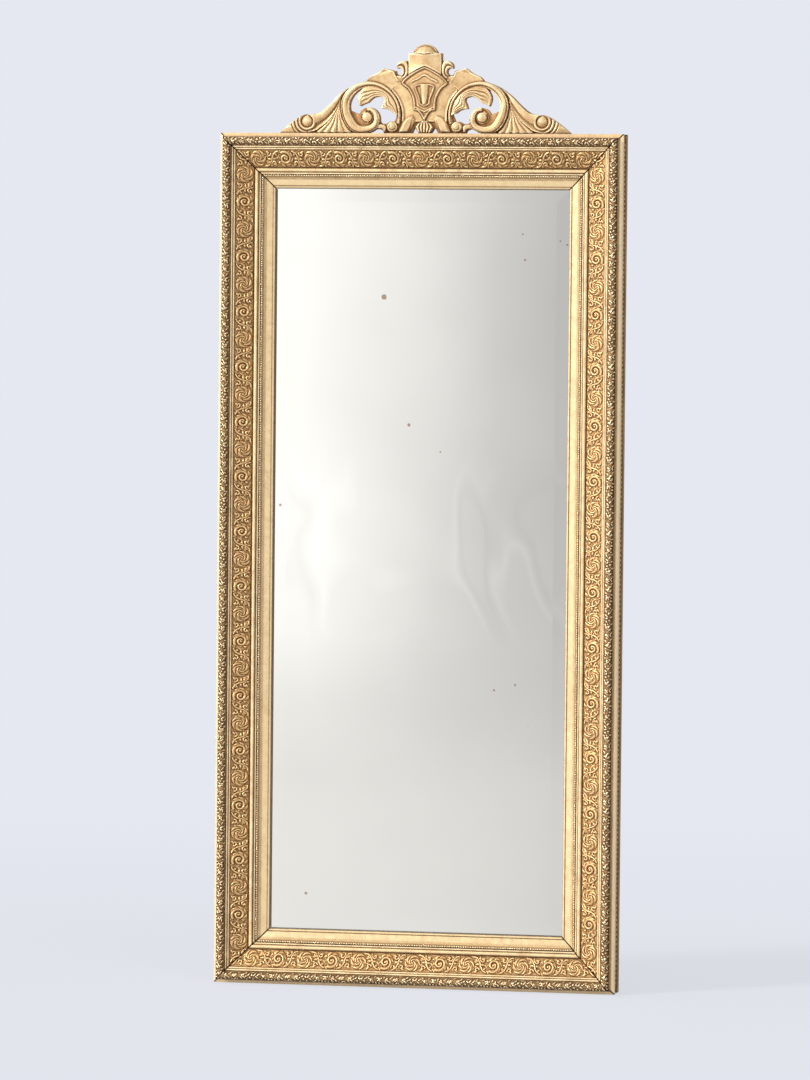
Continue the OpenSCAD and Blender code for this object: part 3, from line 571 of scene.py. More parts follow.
# Each of the next functions gives forms as pairs: signed distance to the form, and
# its height as a share of RELIEF.
def scroll_forms(u, v):
    """The C-scroll with its eye, the leaf that hangs in it, its foot, the ear and the hook."""
    r, turn = about(EYE, u, v)
    for t in (turn, turn + 360):
        out, wide = scroll_r(t), band_w(t)
        s = np.clip((out - r) / wide, 0, 1)
        grow = np.where(t < 270, 0.76 + 0.24 * t / 270, 1 - 0.2 * (t - 270) / (SCROLL_END - 270))
        swell, lip = 0.4 + 0.58 * ridge(s, 0.5, 0.5), 0.8 * ridge(s, 0.95, 0.08)
        broad = highest(0.86 * ridge(s, 0.07, 0.1), swell, lip) - 0.2 * groove(s - 0.17, 0.06)
        thin = highest(0.98 * ridge(s, 0.38, 0.4), 0.6 * ridge(s, 0.88, 0.16), 0.3 + 0 * s)
        share = ramp(t, 290, 60)
        yield (highest(r - out, out - wide - r, (t - SCROLL_END) * 1.2),
               grow * (broad * (1 - share) + thin * share))
    ball = ridge(r, 0, EYE_R + 2.5) - 0.42 * groove(r - 10.4, 1.5) * (np.abs(turn - 325) > 22)
    yield r - 12.7, 0.98 * ball

    t = np.where(turn < 200, turn + 360, turn)
    rows = LEAF_ROWS[:, 0]
    leaf_out = np.where(LEAF_ROWS[:, 1] > 0, LEAF_ROWS[:, 1], band_in(rows))
    dense = spline(LEAF_ROWS[:, [0, 2]])
    outer_r, inner_r = np.interp(t, rows, leaf_out), np.interp(t, dense[:, 0], dense[:, 1])
    s = np.clip((outer_r - r) / np.maximum(outer_r - inner_r, 1), 0, 1)
    swell = 0.46 + 0.4 * np.sin(np.pi * np.clip(0.1 + 0.75 * s, 0, 1))
    veins = 0.16 * groove(s - 0.3, 0.06) + 0.14 * groove(s - 0.55, 0.07) + 0.12 * groove(s - 0.78, 0.07)
    tip = ramp(t, 356, -22)
    fan = 0.14 * tip * np.sin(s * 26 + (t - 327) * 0.05) ** 2
    yield (highest(r - outer_r, inner_r - r, (rows[0] - t) * 0.9, (t - rows[-1]) * 0.9),
           swell - veins * (1 - tip) - fan)

    r, turn = about(FOOT, u, v)
    spiral = 8.6 - 3.6 * ((turn + 40) % 360) / 360
    yield r - FOOT_R, 0.86 * ridge(r, 0, FOOT_R + 3) - 0.14 * groove(r - spiral, 1.1)
    ear = outside(u, v, np.vstack([
        spline([(117, 103)] + EAR_TOP), [(62, 122.2), (57.5, 112), (50, 103), (48, 98), (62, 90)],
        round_eye(range(402, 354, -6), lambda t: scroll_r(t) - 0.5)
    ]))
    tilt = 0.4 + 0.2 * ramp(v, 98, 30) + 0.12 * np.exp(-(ear / 2) ** 2) * (v > 104)
    facet = ramp(v - 118 - 0.25 * (82 - u), 0, 4) * (u > 58)
    yield ear, tilt - 0.14 * facet
    hook = outside(u, v, spline(HOOK))
    yield hook, 0.55 * np.clip(-hook / 3 + 0.4, 0.35, 1)


def wing_forms(u, v):
    """The sweep from the arch, the small volute, the ridges to the tip, and the fan."""
    top = np.interp(u, *spline(WING_TOP, 8).T)
    low = np.interp(u, *spline(WING_LOW, 8).T)
    s = np.clip((top - v) / np.maximum(top - low, 0.5), 0, 1)
    r, _ = about(BALL, u, v)
    wide = ramp(u, 152, 22)
    hollow = 0.42 + 0.3 * ramp(s, 0.7, 0.3) ** 2
    profile = np.maximum(hollow, 0.3 + 0.68 * ridge(s, 0.28, 0.42)) - 0.12 * groove(s - 0.62, 0.06)
    profile = profile * wide + (1 - wide) * (0.55 + 0.4 * ridge(s, 0.5, 0.6))
    sweep = highest(v - top, low - v, 152 - u, BALL_R + 0.3 - r, u - 236)
    yield sweep, (0.66 + 0.24 * ramp(u, 152, 60)) * profile
    yield r - BALL_R, 0.95 * ridge(r, 0, BALL_R + 0.6) + 0.05

    bearing = np.degrees(np.arctan2(v - BALL[1], u - BALL[0]))
    lap = np.interp(r, [BALL_R, 18.6, 25.6, 33.2, 75.0], np.arange(5))
    q = lap % 1
    lip = np.where(lap < 3, np.sin(np.pi * q) ** 0.55, 0.62 + 0.3 * np.cos(np.pi * q))
    slope = np.clip(0.86 - (r - BALL_R) / 80, 0.3, 1)
    low_side = np.where(bearing < -90, r - 18.6, -50.0)
    fold = 0.1 * groove(bearing + 17 - 0.1 * r, 4) * (lap > 3)
    yield highest(BALL_R - r, (bearing - 78) * 0.4, low_side), slope * (0.38 + 0.62 * lip - fold)

    left = np.interp(v, [0, 4, 13, 32, 52, 70], [143, 146, 154, 165.9, 169.8, 168])
    right = np.interp(v, [0, 5, 12.7, 22.4, 34, 47.8, 61, 70], [218, 216, 206, 195, 185.5, 176.7, 171, 168.4])
    x = np.clip((u - left) / np.maximum(right - left, 0.5), 0, 1)
    ribs = 5
    scallop = 2.4 * np.abs(np.cos(np.pi * ribs * x)) * (v < 6)
    rise = 0.62 - 0.2 * ramp(v, 0, 60) - 0.22 * np.abs(x - 0.5)
    yield highest(left - u, u - right, v - 69, scallop - v), rise * fluted(x, ribs, 0.36)


def side_forms(u, v):
    yield from scroll_forms(u, v)
    yield from wing_forms(u, v)


def centre_forms(u, v):
    """The cartouche with its shield, the cap with its curls, the palmette and lobes."""
    wide = np.abs(u)
    f, g = (outside(u, v, np.vstack([half, half[-2:0:-1] * [-1, 1]]))
            for half in (spline(CARTOUCHE), spline(SHIELD, 5)))
    brow_v = 112 - 0.012 * u ** 2 + 2.6 * np.cos(np.clip(u / 15, -1, 1) * np.pi)
    tongue = np.interp(v, [56, 66, 92, 97], [3, 5, 8, 7.5])
    in_tongue = (wide < tongue) & (v > 57) & (v < 97)
    yield (f, highest(
        0.84 * ridge(f, -2.0, 2.2),
        0.46 + 0.16 * ramp(f, 0, -20),
        0.8 * ridge(v, brow_v, 3.2) * (wide < 26),
        np.where(g < 0, 0.58, 0),
        0.92 * ridge(g, -1.8, 2.2) * (g < 0.3),
        0.8 * ridge(v, 43 + 0.5 * wide, 2.8) * (wide < 19),
        np.where(in_tongue, 0.72 + 0.3 * ridge(u, 0, tongue), 0)
    ))

    r, _ = about(EYE, wide, v)
    spur = ridge(v, 104.5 - 0.12 * (wide - 40), 1.6) * (wide > 38) * (wide < 56)
    bowl = 0.3 + 0.11 * ramp(r, 76, 10) + 0.22 * groove(r - 71.5, 3.5)
    yield highest(0.8 - f, 70.6 - r, 24 - v, v - 113, wide - 65), np.maximum(bowl, 0.62 * spur)

    bow = 1 - 0.45 * (u / CAP_HALF) ** 2
    waist = 0.84 + 0.14 * np.clip((v - 140) / 15, -1, 1) ** 2
    waist = waist - 0.3 * groove(v - CAP_TOP + 0.8 - 2.4 * (u / 30) ** 2, 1.8)
    yield highest(wide - CAP_HALF, v - CAP_TOP - 1, 104 - v, 0.6 - f), bow * waist
    dome_v = v - DOME_V
    ball = np.sqrt(np.clip(DOME_R ** 2 - u ** 2 - dome_v ** 2, 0, None)) - (DOME_R - RELIEF)
    gadroon = 0.5 * np.sin(np.arctan2(u, 6 + np.abs(dome_v) * 0.4) * 5) ** 2
    sag = CAP_TOP - 1.2 + 3.2 * (u / 25) ** 2
    yield (highest(np.hypot(u, dome_v) - DOME_R, sag - v),
           np.clip(ball + 3.0 - gadroon, 2.5, RELIEF + 1.5) / RELIEF)

    dx, dy = wide - NOTCH[0], v - NOTCH[1]
    rn, a = np.hypot(dx, dy), np.degrees(np.arctan2(dy, dx)) % 360
    reach = np.interp(a, *np.transpose(CURL_REACH))
    s = np.clip((reach - rn) / np.maximum(reach - NOTCH_R, 1), 0, 1)
    curl = highest(rn - reach, NOTCH_R - rn, 48 - a, a - 240, 0.5 - f, CAP_HALF + 0.3 - wide)
    yield curl, 0.86 * highest(0.8 * ridge(s, 0.28, 0.36), 0.42 + 0 * s, 0.9 * ridge(s, 0.82, 0.24))

    half = np.interp(v, [0, 3, 8, 13.5, 20, 25], [11, 12.5, 15, 17.5, 13, 4.5])
    x = np.clip((u / half + 1) / 2, 0, 1)
    scallop = 2.0 * np.abs(np.cos(np.pi * 5 * x)) * (v < 5)
    yield highest(wide - half, v - 25.5, scallop - v), 0.78 * fluted(x, 5, 0.5) * (1 - 0.2 * v / 24)
    lobe = outside(wide, v, spline(LOBE, 5))
    crease = groove((wide - 20) - (38 - v) * 0.34, 1.6) * (v < 31)
    yield lobe, 0.74 * (np.clip(0.45 - lobe / 8, 0.4, 1) - 0.16 * crease)


def soften(h, passes):
    """Averages each cell with its neighbours."""
    for _ in range(passes):
        p = np.pad(h, 1, mode="edge")
        h = (4 * h + p[:-2, 1:-1] + p[2:, 1:-1] + p[1:-1, :-2] + p[1:-1, 2:]) / 8
    return h


def carve(name, forms_of, lo_u, hi_u, mirrored=False):
    """A closed carved piece standing on the crest board, cut to its own outline."""
    columns = int((hi_u - lo_u) / CELL) + 2
    rows = int(CREST_H / CELL) + 3
    u, v = np.meshgrid(lo_u + np.arange(columns) * CELL, (np.arange(rows) - 0.5) * CELL, indexing="ij")
    high, near = np.zeros_like(u), np.full(u.shape, 1e9)
    for edge, height in forms_of(u, v):
        high = np.where(edge < 0, np.maximum(high, RELIEF * height), high)
        near = np.minimum(near, edge)
    near = highest(near, crest_outline(np.abs(u), v), 0.3 - v)
    high = soften(np.where(near < 0.6, np.maximum(high, 1.5), 0), 1)
    high = np.maximum(high, LEAST_RELIEF)
    # Grid points beside the outline move onto it
    gu, gv = np.gradient(near, CELL)
    steep = np.maximum(gu ** 2 + gv ** 2, 0.05)
    move = np.clip(near, -0.62 * CELL, 0.62 * CELL) * (np.abs(near) < 1.2 * CELL) / steep
    i, k = np.nonzero((near[:-1, :-1] + near[1:, :-1] + near[:-1, 1:] + near[1:, 1:]) / 4 < 0)
    quad = np.stack([i * rows + k, (i + 1) * rows + k, (i + 1) * rows + k + 1, i * rows + k + 1], -1)
    used = np.unique(quad)
    n = len(used)
    index = np.full(columns * rows, -1)
    index[used] = np.arange(n)
    quad = index[quad]
    cavity = np.clip(0.5 + (high - soften(high, 14)) / 2.2, 0, 1)
    x, z, h, cavity = (table.ravel()[used] for table in (u - move * gu, v - move * gv, high, cavity))
    if mirrored:
        x = -x
        quad = quad[:, ::-1]
    front = np.stack([x, CREST_FACE - h, CREST_BASE + z], -1)
    back = np.stack([x, np.full(n, CREST_FACE), CREST_BASE + z], -1)
    sides = dict.fromkeys(zip(quad.ravel().tolist(), np.roll(quad, -1, axis=1).ravel().tolist()))
    walls = [(a, a + n, b + n, b) for a, b in sides if (b, a) not in sides]
    faces = quad.tolist() + (quad[:, ::-1] + n).tolist() + walls
    obj = make_mesh(name, np.vstack([front, back]), faces, np.concatenate([cavity, np.full(n, 0.15)]))
    obj.data.set_sharp_from_angle(angle=SHARP_EDGE)
    return obj


# ---------- materials
def srgb(code):
    """Linear colour from a six-figure hex code."""
    channel = [int(code[i:i + 2], 16) / 255 for i in (0, 2, 4)]
    return [c / 12.92 if c <= 0.04045 else ((c + 0.055) / 1.055) ** 2.4 for c in channel] + [1.0]


class Nodes:
    """Short names for building a tree of shader nodes; each gives back an output."""

    def __init__(self, tree):
        self.tree = tree

    def put(self, socket, value):
        if isinstance(value, bpy.types.NodeSocket):
            self.tree.links.new(value, socket)
        else:
            socket.default_value = value

    def add(self, kind, inputs, output=0, **settings):
        """A new node with its settings, its inputs by name or number, and an output."""
        node = self.tree.nodes.new("ShaderNode" + kind)
        for key, value in settings.items():
            setattr(node, key, value)
        for key, value in inputs.items():
            self.put(node.inputs[key], value)
        return node.outputs[output]

    def point(self, space="Object"):
        return self.add("TexCoord", {}, space)

    def axis(self, which, space="Object"):
        return self.add("SeparateXYZ", {0: self.point(space)}, which)

    def attribute(self, name):
        return self.add("Attribute", {}, "Fac", attribute_name=name)

    def math(self, operation, a, b=0.0):
        return self.add("Math", {0: a, 1: b}, operation=operation)

    def times(self, a, b):
        return self.math("MULTIPLY", a, b)

    def plus(self, a, b):
        return self.math("ADD", a, b)

    def minus(self, a, b):
        return self.math("SUBTRACT", a, b)

    def inward(self, which, middle, half):
        """Distance in from the torus edges of one pair of members."""
        away = self.math("ABSOLUTE", self.minus(self.axis(which), middle * MM))
        return self.minus(half * MM, away)

    def stretch(self, x, y, z):
        return self.add("Mapping", {"Vector": self.point(), "Scale": (x, y, z)})

    def noise(self, scale, detail=4.0, vector=None, rough=0.55, warp=0.0):
        return self.add("TexNoise", {
            "Vector": vector or self.point(), "Scale": scale, "Detail": detail, "Roughness": rough,
            "Distortion": warp
        })

    def cells(self, scale, vector=None):
        return self.add("TexVoronoi", {"Vector": vector or self.point(), "Scale": scale}, "Distance")

    def ramp(self, value, *stops):
        """Reads a colour or a grey between stops of place and value."""
        output = self.add("ValToRGB", {0: value})
        elements = output.node.color_ramp.elements
        elements[1].position, elements[0].position = stops[-1][0], stops[0][0]
        for at, _ in stops[1:-1]:
            elements.new(at)
        for element, (_, colour) in zip(elements, stops):
            element.color = colour if not isinstance(colour, (int, float)) else (colour, colour, colour, 1)
        return output

    def mix(self, factor, a, b, blend="MIX"):
        return self.add("Mix", {0: factor, 6: a, 7: b}, 2, data_type="RGBA", blend_type=blend)

    def rescale(self, value, low, high, first, last):
        """Maps low to high onto first to last, flat outside."""
        return self.add("MapRange", {
            "Value": value, "From Min": low, "From Max": high, "To Min": first, "To Max": last})

    def cavity(self, distance):
        return self.add("AmbientOcclusion", {"Distance": distance}, "AO", samples=6)


class Finish(Nodes):
    """The nodes of one material, round a Principled shader."""

    def __init__(self, name):
        self.material = bpy.data.materials.new(name)
        self.material.use_nodes = True
        super().__init__(self.material.node_tree)
        self.tree.nodes.clear()
        self.shader = self.tree.nodes.new("ShaderNodeBsdfPrincipled")
        self.put(self.tree.nodes.new("ShaderNodeOutputMaterial").inputs[0], self.shader.outputs[0])

    def set(self, inputs):
        for key, value in inputs.items():
            self.put(self.shader.inputs[key], value)

    def bump(self, height, strength, distance):
        self.set({"Normal": self.add("Bump", {"Strength": strength, "Distance": distance, "Height": height})})

    def surface(self, colour, roughness, metallic=0.0):
        self.set({"Base Color": colour, "Roughness": roughness, "Metallic": metallic})

    def glow(self, colour, strength):
        """Light of its own, without shine."""
        self.set({"Emission Color": colour, "Emission Strength": strength, "Specular IOR Level": 0.0})


PALE_GOLD_AND_HIGHLIGHT = srgb("FFEAC2")
CROWN_HIGHLIGHT_GOLD = srgb("FFE8BA")
GOLD_MID = srgb("CB9B5A")
GOLD_DEEP = srgb("A07032")
FRIEZE_GOLD = srgb("B68138")
FRIEZE_HIGHLIGHT = srgb("FBD8A0")
SLIP_HIGHLIGHT_GOLD = srgb("E9D0A2")
SLIP_LIGHT = srgb("D9BC8E")
SLIP_DEEP = srgb("CBA977")
CREST_GOLD = srgb("E8CA97")
CREST_DEEP = srgb("C6A06A")
CREST_SHADE = srgb("7A4E26")
BOARD_SHADE = srgb("7A4A20")
BOLE = srgb("7A3B1E")
PATINA_AND_SHADE = srgb("4A2E16")
DARKEST = srgb("2E1808")
BARE_WOOD = srgb("6F4E33")
BARE_GRAIN = srgb("4B3422")
PINE_LIGHT = srgb("8A6440")
PINE_DARK = srgb("5B3D24")
OAK_LIGHT = srgb("74502F")
OAK_DARK = srgb("3F2A18")
WOOD_STAIN = srgb("3A2818")
WOOD_CORNER_SHADE = srgb("241A12")
STEEL = srgb("4A4744")
RUST = srgb("6B3E22")
SILVER = srgb("FDFDFB")
FOX_BROWN = srgb("94765A")
BLACK = srgb("000000")

# Across the moulding, in millimetres from the torus edge: painted shade lines in the
# quirks (place, half width, strength), and painted highlights on the crowns.
QUIRK_SHADE = [(17.3, 0.7, 0.9), (25.7, 0.4, 0.6), (60.4, 1.0, 0.85), (69.2, 0.9, 0.95), (73.2, 0.9, 0.95)]
CROWN_HIGHLIGHTS = [(19.6, 2.0, 1.0), (23.6, 1.8, 1.0), (65.0, 3.6, 0.8), (71.4, 1.6, 1.0)]
SLIP_QUIRK_SHADE = [(78.6, 0.9, 0.6), (95.6, 1.1, 0.9), (100.3, 0.9, 0.85)]
SLIP_CROWN_HIGHLIGHTS = [(89.0, 6.6, 1.0), (98.2, 1.6, 1.0)]
# Down the side wall, in millimetres behind the torus crown.
COVE, FILLET, CHANNEL, CHANNEL_END = 17.0, 26.5, 40.0, 62.0
ACROSS = 110.0  # the ramps of the moulding are read over this width


def stops_mm(*stops):
    """Ramp stops from places in millimetres."""
    return [(at / ACROSS, value) for at, value in stops]


def peaks(places, shoulder):
    """Ramp stops for peaks across the moulding; shoulder is the flat share of each."""
    stops = [(0.0, 0)]
    for at, half, strength in places:
        flat = half * shoulder
        stops += [(at - half, 0), (at - flat, strength), (at + flat, strength), (at + half, 0)]
    return stops_mm(*stops)


def moulding_marks(n, colour, quirks=(), crowns=(), highlight_gold=CROWN_HIGHLIGHT_GOLD, fillet=None):
    """Painted highlights on the crowns, painted shade in the quirks, dark mitres, painted
    shade in the side wall's cove and channel, and a painted highlight on its front fillet by the share given."""
    stile, rail = n.inward(0, 0, EDGE_X), n.inward(2, MIDDLE_Z, (HIGH - LOW) / 2)
    across = n.times(n.math("MINIMUM", stile, rail), 1 / (ACROSS * MM))
    if crowns:
        # Painted highlights along the crowns, broken up by noise.
        wear_and_sheen = n.ramp(n.noise(45, 4), (0.35, 0.55), (0.6, 1))
        crown = n.times(n.ramp(across, *peaks(crowns, 0.6)), wear_and_sheen)
        colour = n.mix(n.times(crown, 0.95), colour, highlight_gold)
    if fillet is not None:
        # Painted highlight on the front fillet of the side wall; the stiles get more of it than the rails.
        back = n.times(n.minus(n.axis(1), FRONT * MM), 1 / (ACROSS * MM))
        wall = n.ramp(across, (0, 1), (0.01, 0))
        lit = n.ramp(back, *stops_mm((FILLET - 4, 0), (FILLET - 1, 1), (CHANNEL - 4, 1), (CHANNEL - 3, 0)))
        colour = n.mix(n.times(n.times(lit, wall), fillet), colour, PALE_GOLD_AND_HIGHLIGHT)
        # Painted shade in the cove under the torus and in the channel of the side wall.
        channel_shade = n.ramp(back, *stops_mm(
            (COVE - 1, 0.9), (COVE + 3, 0), (CHANNEL - 4, 0), (CHANNEL - 3, 0.94), (CHANNEL_END - 0.3, 0.94),
            (CHANNEL_END, 0)
        ))
        colour = n.mix(n.times(channel_shade, wall), colour, DARKEST)
    if quirks:
        # Painted shade in the quirks.
        colour = n.mix(n.ramp(across, *peaks(quirks, 0.3)), colour, DARKEST)
    joint = n.math("ABSOLUTE", n.minus(stile, rail))
    return n.mix(n.ramp(n.times(joint, 100.0), (0.12, 0.95), (0.24, 0)), colour, DARKEST)


def gilding(name, light=GOLD_MID, dark=GOLD_DEEP, relief=None, stipple=0.0, wear_and_sheen=0.35, rough=0.34, hollows=4,
            bare_back=False, metal=0.35, shade=PATINA_AND_SHADE, bright=PALE_GOLD_AND_HIGHLIGHT, marks=None, mottle=0.0):
    """Gold leaf over red bole: painted highlights on the highs, brown patina and painted
    shade in the hollows, rubbed through in places, speckled with age, and bare wood behind.
    relief is the level of the mesh attribute at which the painted shade of the lows ends;
    hollows is their size, the reach of the occlusion that darkens them."""
    n = Finish(name)
    # Brown patina and painted shade in the hollows, taken from the occlusion.
    hollow = n.ramp(n.cavity(hollows * MM), (0.35, 0), (0.95, 1))
    gold = n.mix(n.ramp(n.noise(18, 3), (0.35, 0), (0.7, 1)), dark, light)
    gold = n.mix(n.ramp(n.noise(240, 3), (0.3, 0), (0.75, 0.35)), gold, PALE_GOLD_AND_HIGHLIGHT)
    if relief is not None:
        # Painted shade on the lows of the relief, and painted highlights on its highs.
        high = n.attribute("relief")
        gold = n.mix(n.ramp(high, (relief, 0), (relief + 0.3, 1)), n.mix(0.92, gold, shade), gold)
        gold = n.mix(n.ramp(high, (0.56, 0), (0.8, 0.92)), gold, bright)
    colour = n.mix(hollow, n.mix(0.3, shade, dark), gold)
    rubbed = n.ramp(n.noise(70, 6, rough=0.7), (0.64 - 0.06 * wear_and_sheen, 0), (0.72, 0.75 * wear_and_sheen))
    colour = n.mix(rubbed, colour, BOLE)
    if mottle:
        stain = n.ramp(n.noise(42, 5, rough=0.65), (0.47, 0), (0.66, mottle))
        colour = n.mix(stain, colour, n.mix(0.5, shade, dark))
        # Painted shadow: the lowest few millimetres of the crest darkened where it stands on the frame.
        above = n.times(n.minus(n.axis(2), CREST_BASE * MM), 100.0)
        foot = n.ramp(above, (0.15, 0.85), (0.5, 0))
        colour = n.mix(foot, colour, n.mix(0.5, shade, DARKEST))
    specks = n.ramp(n.cells(330), (0.06, 0.55), (0.13, 0))
    where = n.ramp(n.noise(35, 2), (0.5, 0), (0.62, 1))
    colour = n.mix(n.times(specks, where), colour, PATINA_AND_SHADE)
    if marks is not None:
        colour = moulding_marks(n, colour, **marks)
    if bare_back:
        grain = n.noise(28, 6, n.stretch(9, 9, 1), 0.6, 0.4)
        edge = n.plus(n.axis(1), n.times(n.noise(60, 3), 1.5 * MM))
        behind = n.math("GREATER_THAN", edge, (BACK + 0.1) * MM)
        colour = n.mix(behind, colour, n.mix(grain, BARE_GRAIN, BARE_WOOD))
    n.surface(colour, n.ramp(n.noise(90, 4), (0.3, rough - 0.06), (0.75, rough + 0.16)), metal)
    fine = n.noise(520, 4)
    if stipple:
        fine = n.plus(n.times(n.cells(900), stipple), fine)
    n.bump(fine, 0.45 if stipple else 0.25, 0.35 * MM)
    return n.material


def bare_wood(name, light, dark, along):
    """Old unfinished timber with grain, growth bands and knots, and painted shade in its corners."""
    n = Finish(name)
    fine, broad = [22.0] * 3, [5.0] * 3
    fine[along], broad[along] = 1.3, 0.45
    grain = n.noise(5, 9, n.stretch(*fine), 0.62, 0.7)
    bands = n.noise(3.5, 3, n.stretch(*broad), 0.5, 2.2)
    colour = n.mix(n.ramp(grain, (0.32, 0), (0.7, 1)), dark, light)
    colour = n.mix(n.ramp(bands, (0.42, 0), (0.52, 0.4), (0.6, 0)), colour, dark)
    colour = n.mix(n.ramp(n.noise(4.5, 5), (0.45, 0), (0.75, 0.45)), colour, WOOD_STAIN)
    # Painted shade where the occlusion is high.
    colour = n.mix(n.ramp(n.cavity(15 * MM), (0.4, 0), (1, 1)), WOOD_CORNER_SHADE, colour)
    n.surface(colour, 0.8)
    n.bump(grain, 0.35, 0.6 * MM)
    return n.material


def iron(name):
    """Dark wrought steel with brown rust blooms."""
    n = Finish(name)
    rust = n.ramp(n.noise(160, 6, rough=0.7), (0.5, 0), (0.66, 1))
    n.surface(n.mix(rust, STEEL, RUST), n.ramp(rust, (0, 0.42), (1, 0.85)), 0.75)
    n.bump(n.noise(420, 5), 0.4, 0.4 * MM)
    return n.material


# Places of the foxing spots on the plate: x, z, radius, in millimetres
FOXING = [
    (-75, 1355, 6.2), (-23, 1105, 4), (-221, 179, 3.4), (205, 1430, 2.8), (200, 1480, 2.2), (274, 1467, 2.2),
    (288, 1460, 2.2), (152, 588, 2.6), (194, 599, 2.6), (40, 1053, 2.2), (-280, 944, 3), (294, 474, 3.2)
]


def silvered_glass(name):
    """Old silvered plate: faint clouding, foxing spots and fine speckle."""
    n = Finish(name)
    on_plate = n.stretch(1, 0, 1)
    nearest = 100.0
    for x, z, radius in FOXING:
        gap = n.add("VectorMath", {0: on_plate, 1: (x * MM, 0, z * MM)}, "Value", operation="DISTANCE")
        nearest = n.math("MINIMUM", nearest, n.times(gap, 1 / (radius * MM)))
    ragged = n.plus(nearest, n.times(n.minus(n.noise(300, 3), 0.5), 0.9))
    spot = n.ramp(ragged, (0.3, 0.75), (0.55, 1), (0.95, 0))
    fine = n.ramp(n.cells(60, n.stretch(1, 0.001, 1)), (0.04, 0.5), (0.07, 0))
    speckle = n.times(fine, n.ramp(n.noise(5, 3), (0.6, 0), (0.68, 1)))
    age = n.math("MINIMUM", n.plus(spot, speckle), 1.0)
    cloud = n.ramp(n.noise(2.4, 3), (0.3, 0.95), (0.75, 0.99))
    silver = n.mix(1.0, cloud, SILVER, "MULTIPLY")
    n.surface(n.mix(age, silver, FOX_BROWN), n.ramp(age, (0, 0.012), (1, 0.45)), 1.0)
    return n.material


def make_materials():
    return {
        "torus": gilding("torus_gilding", relief=0.32, wear_and_sheen=0.5, hollows=3, metal=0.55, shade=DARKEST,
                         marks={}),
        "frieze": gilding("frieze_gilding", FRIEZE_GOLD, relief=0.26, stipple=0.8, wear_and_sheen=0.4, rough=0.4,
                          hollows=3, metal=0.6, bright=FRIEZE_HIGHLIGHT, marks={}),
        "pearls": gilding("pearl_gilding", PALE_GOLD_AND_HIGHLIGHT, GOLD_MID, relief=0.22, hollows=2, metal=0.7),
        "beads": gilding("bead_gilding", PALE_GOLD_AND_HIGHLIGHT, GOLD_MID, relief=0.22, rough=0.4, metal=0.4),
        "crest": gilding("crest_gilding", CREST_GOLD, CREST_DEEP, relief=0.22, wear_and_sheen=0.15, rough=0.42,
                         hollows=5, shade=CREST_SHADE, mottle=0.5),
        "board": gilding("crest_board_gilding", stipple=0.6, wear_and_sheen=0.4, rough=0.5, hollows=8, bare_back=True,
                         shade=BOARD_SHADE),
        # The stile and rail finishes differ only in how much painted highlight their side fillets get.
        "stile": gilding("stile_gilding", bare_back=True,
                         marks=dict(quirks=QUIRK_SHADE, crowns=CROWN_HIGHLIGHTS, fillet=0.85)),
        "rail": gilding("rail_gilding", bare_back=True,
                        marks=dict(quirks=QUIRK_SHADE, crowns=CROWN_HIGHLIGHTS, fillet=0.4)),
        "slip": gilding("slip_gilding", SLIP_LIGHT, SLIP_DEEP, wear_and_sheen=0.25, rough=0.3, bare_back=True,
                        metal=0.42,
                        marks=dict(quirks=SLIP_QUIRK_SHADE, crowns=SLIP_CROWN_HIGHLIGHTS, highlight_gold=SLIP_HIGHLIGHT_GOLD)),
        "glass": silvered_glass("silvered_plate"),
        "pine_x": bare_wood("pine_boards", PINE_LIGHT, PINE_DARK, 0),
        "pine_z": bare_wood("pine_blocks", PINE_LIGHT, PINE_DARK, 2),
        "oak": bare_wood("hardwood", OAK_LIGHT, OAK_DARK, 2),
        "iron": iron("wrought_steel"),
    }


# ---------- building the piece
def build_ornament(materials):
    torus_tile = Tile(torus_mould, math.pi * TORUS_R, 0.75)
    frieze_tile = Tile(frieze_mould, FRIEZE_W, 1.6)
    pearl_ball = ball_template(8, 5)
    bead_ball = ball_template(14, 8)
    for side in SIDES:
        piece = ornament_strip("leafy_torus_" + side, side, *torus_section(), torus_tile)
        finish_piece(piece, materials["torus"], "leaf_gilt", "leaf_torus_" + side)
        piece = ornament_strip("rosette_frieze_" + side, side, *frieze_section(), frieze_tile)
        finish_piece(piece, materials["frieze"], "frieze_gilt", "frieze_" + side)
        piece = string_of("pearl_row_" + side, side, PEARL_W, PEARL_D, PEARL_PITCH, PEARL_R,
                          pearl_ball, PEARL_W + PEARL_R + 1)
        finish_piece(piece, materials["pearls"], "pearl_gilt", "pearls_" + side)
        piece = string_of("bead_row_" + side, side, BEAD_W, BEAD_D, BEAD_PITCH, BEAD_R,
                          bead_ball, BEAD_R + 3, BEAD_STRETCH)
        finish_piece(piece, materials["beads"], "bead_gilt", "beads_" + side)


def build_crest(materials):
    for side in ("left", "right"):
        piece = carve("crest_carving_" + side, side_forms, 45, CREST_HALF, side == "left")
        finish_piece(piece, materials["crest"], "crest_gilt", "crest_scroll_" + side, "crest_wing_" + side)
    piece = carve("crest_carving_centre", centre_forms, -CREST_HALF / 4, CREST_HALF / 4)
    finish_piece(piece, materials["crest"], "crest_gilt", "crest_cartouche", "crest_cap")


# CAD nodes that still show, by the key of their material
DRESSED = {
    "stile": ["stile_left", "stile_right"],
    "rail": ["rail_top", "rail_bottom"],
    "slip": ["slip_" + side for side in SIDES],
    "board": ["crest_board"],
    "glass": ["mirror_plate"],
    "pine_x": ["backboard_%d" % i for i in range(1, 7)],
    "pine_z": ["glazing_blocks"],
    "oak": ["mitre_keys", "crest_batten_left", "crest_batten_right"],
    "iron": ["backboard_nails", "batten_screws", "hanger_screws", "hanger_left", "hanger_right", "ring_left",
             "ring_right"]
}


def dress_nodes(materials):
    for key, nodes in DRESSED.items():
        for node in nodes:
            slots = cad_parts[node].data.materials
            slots.clear()
            slots.append(materials[key])


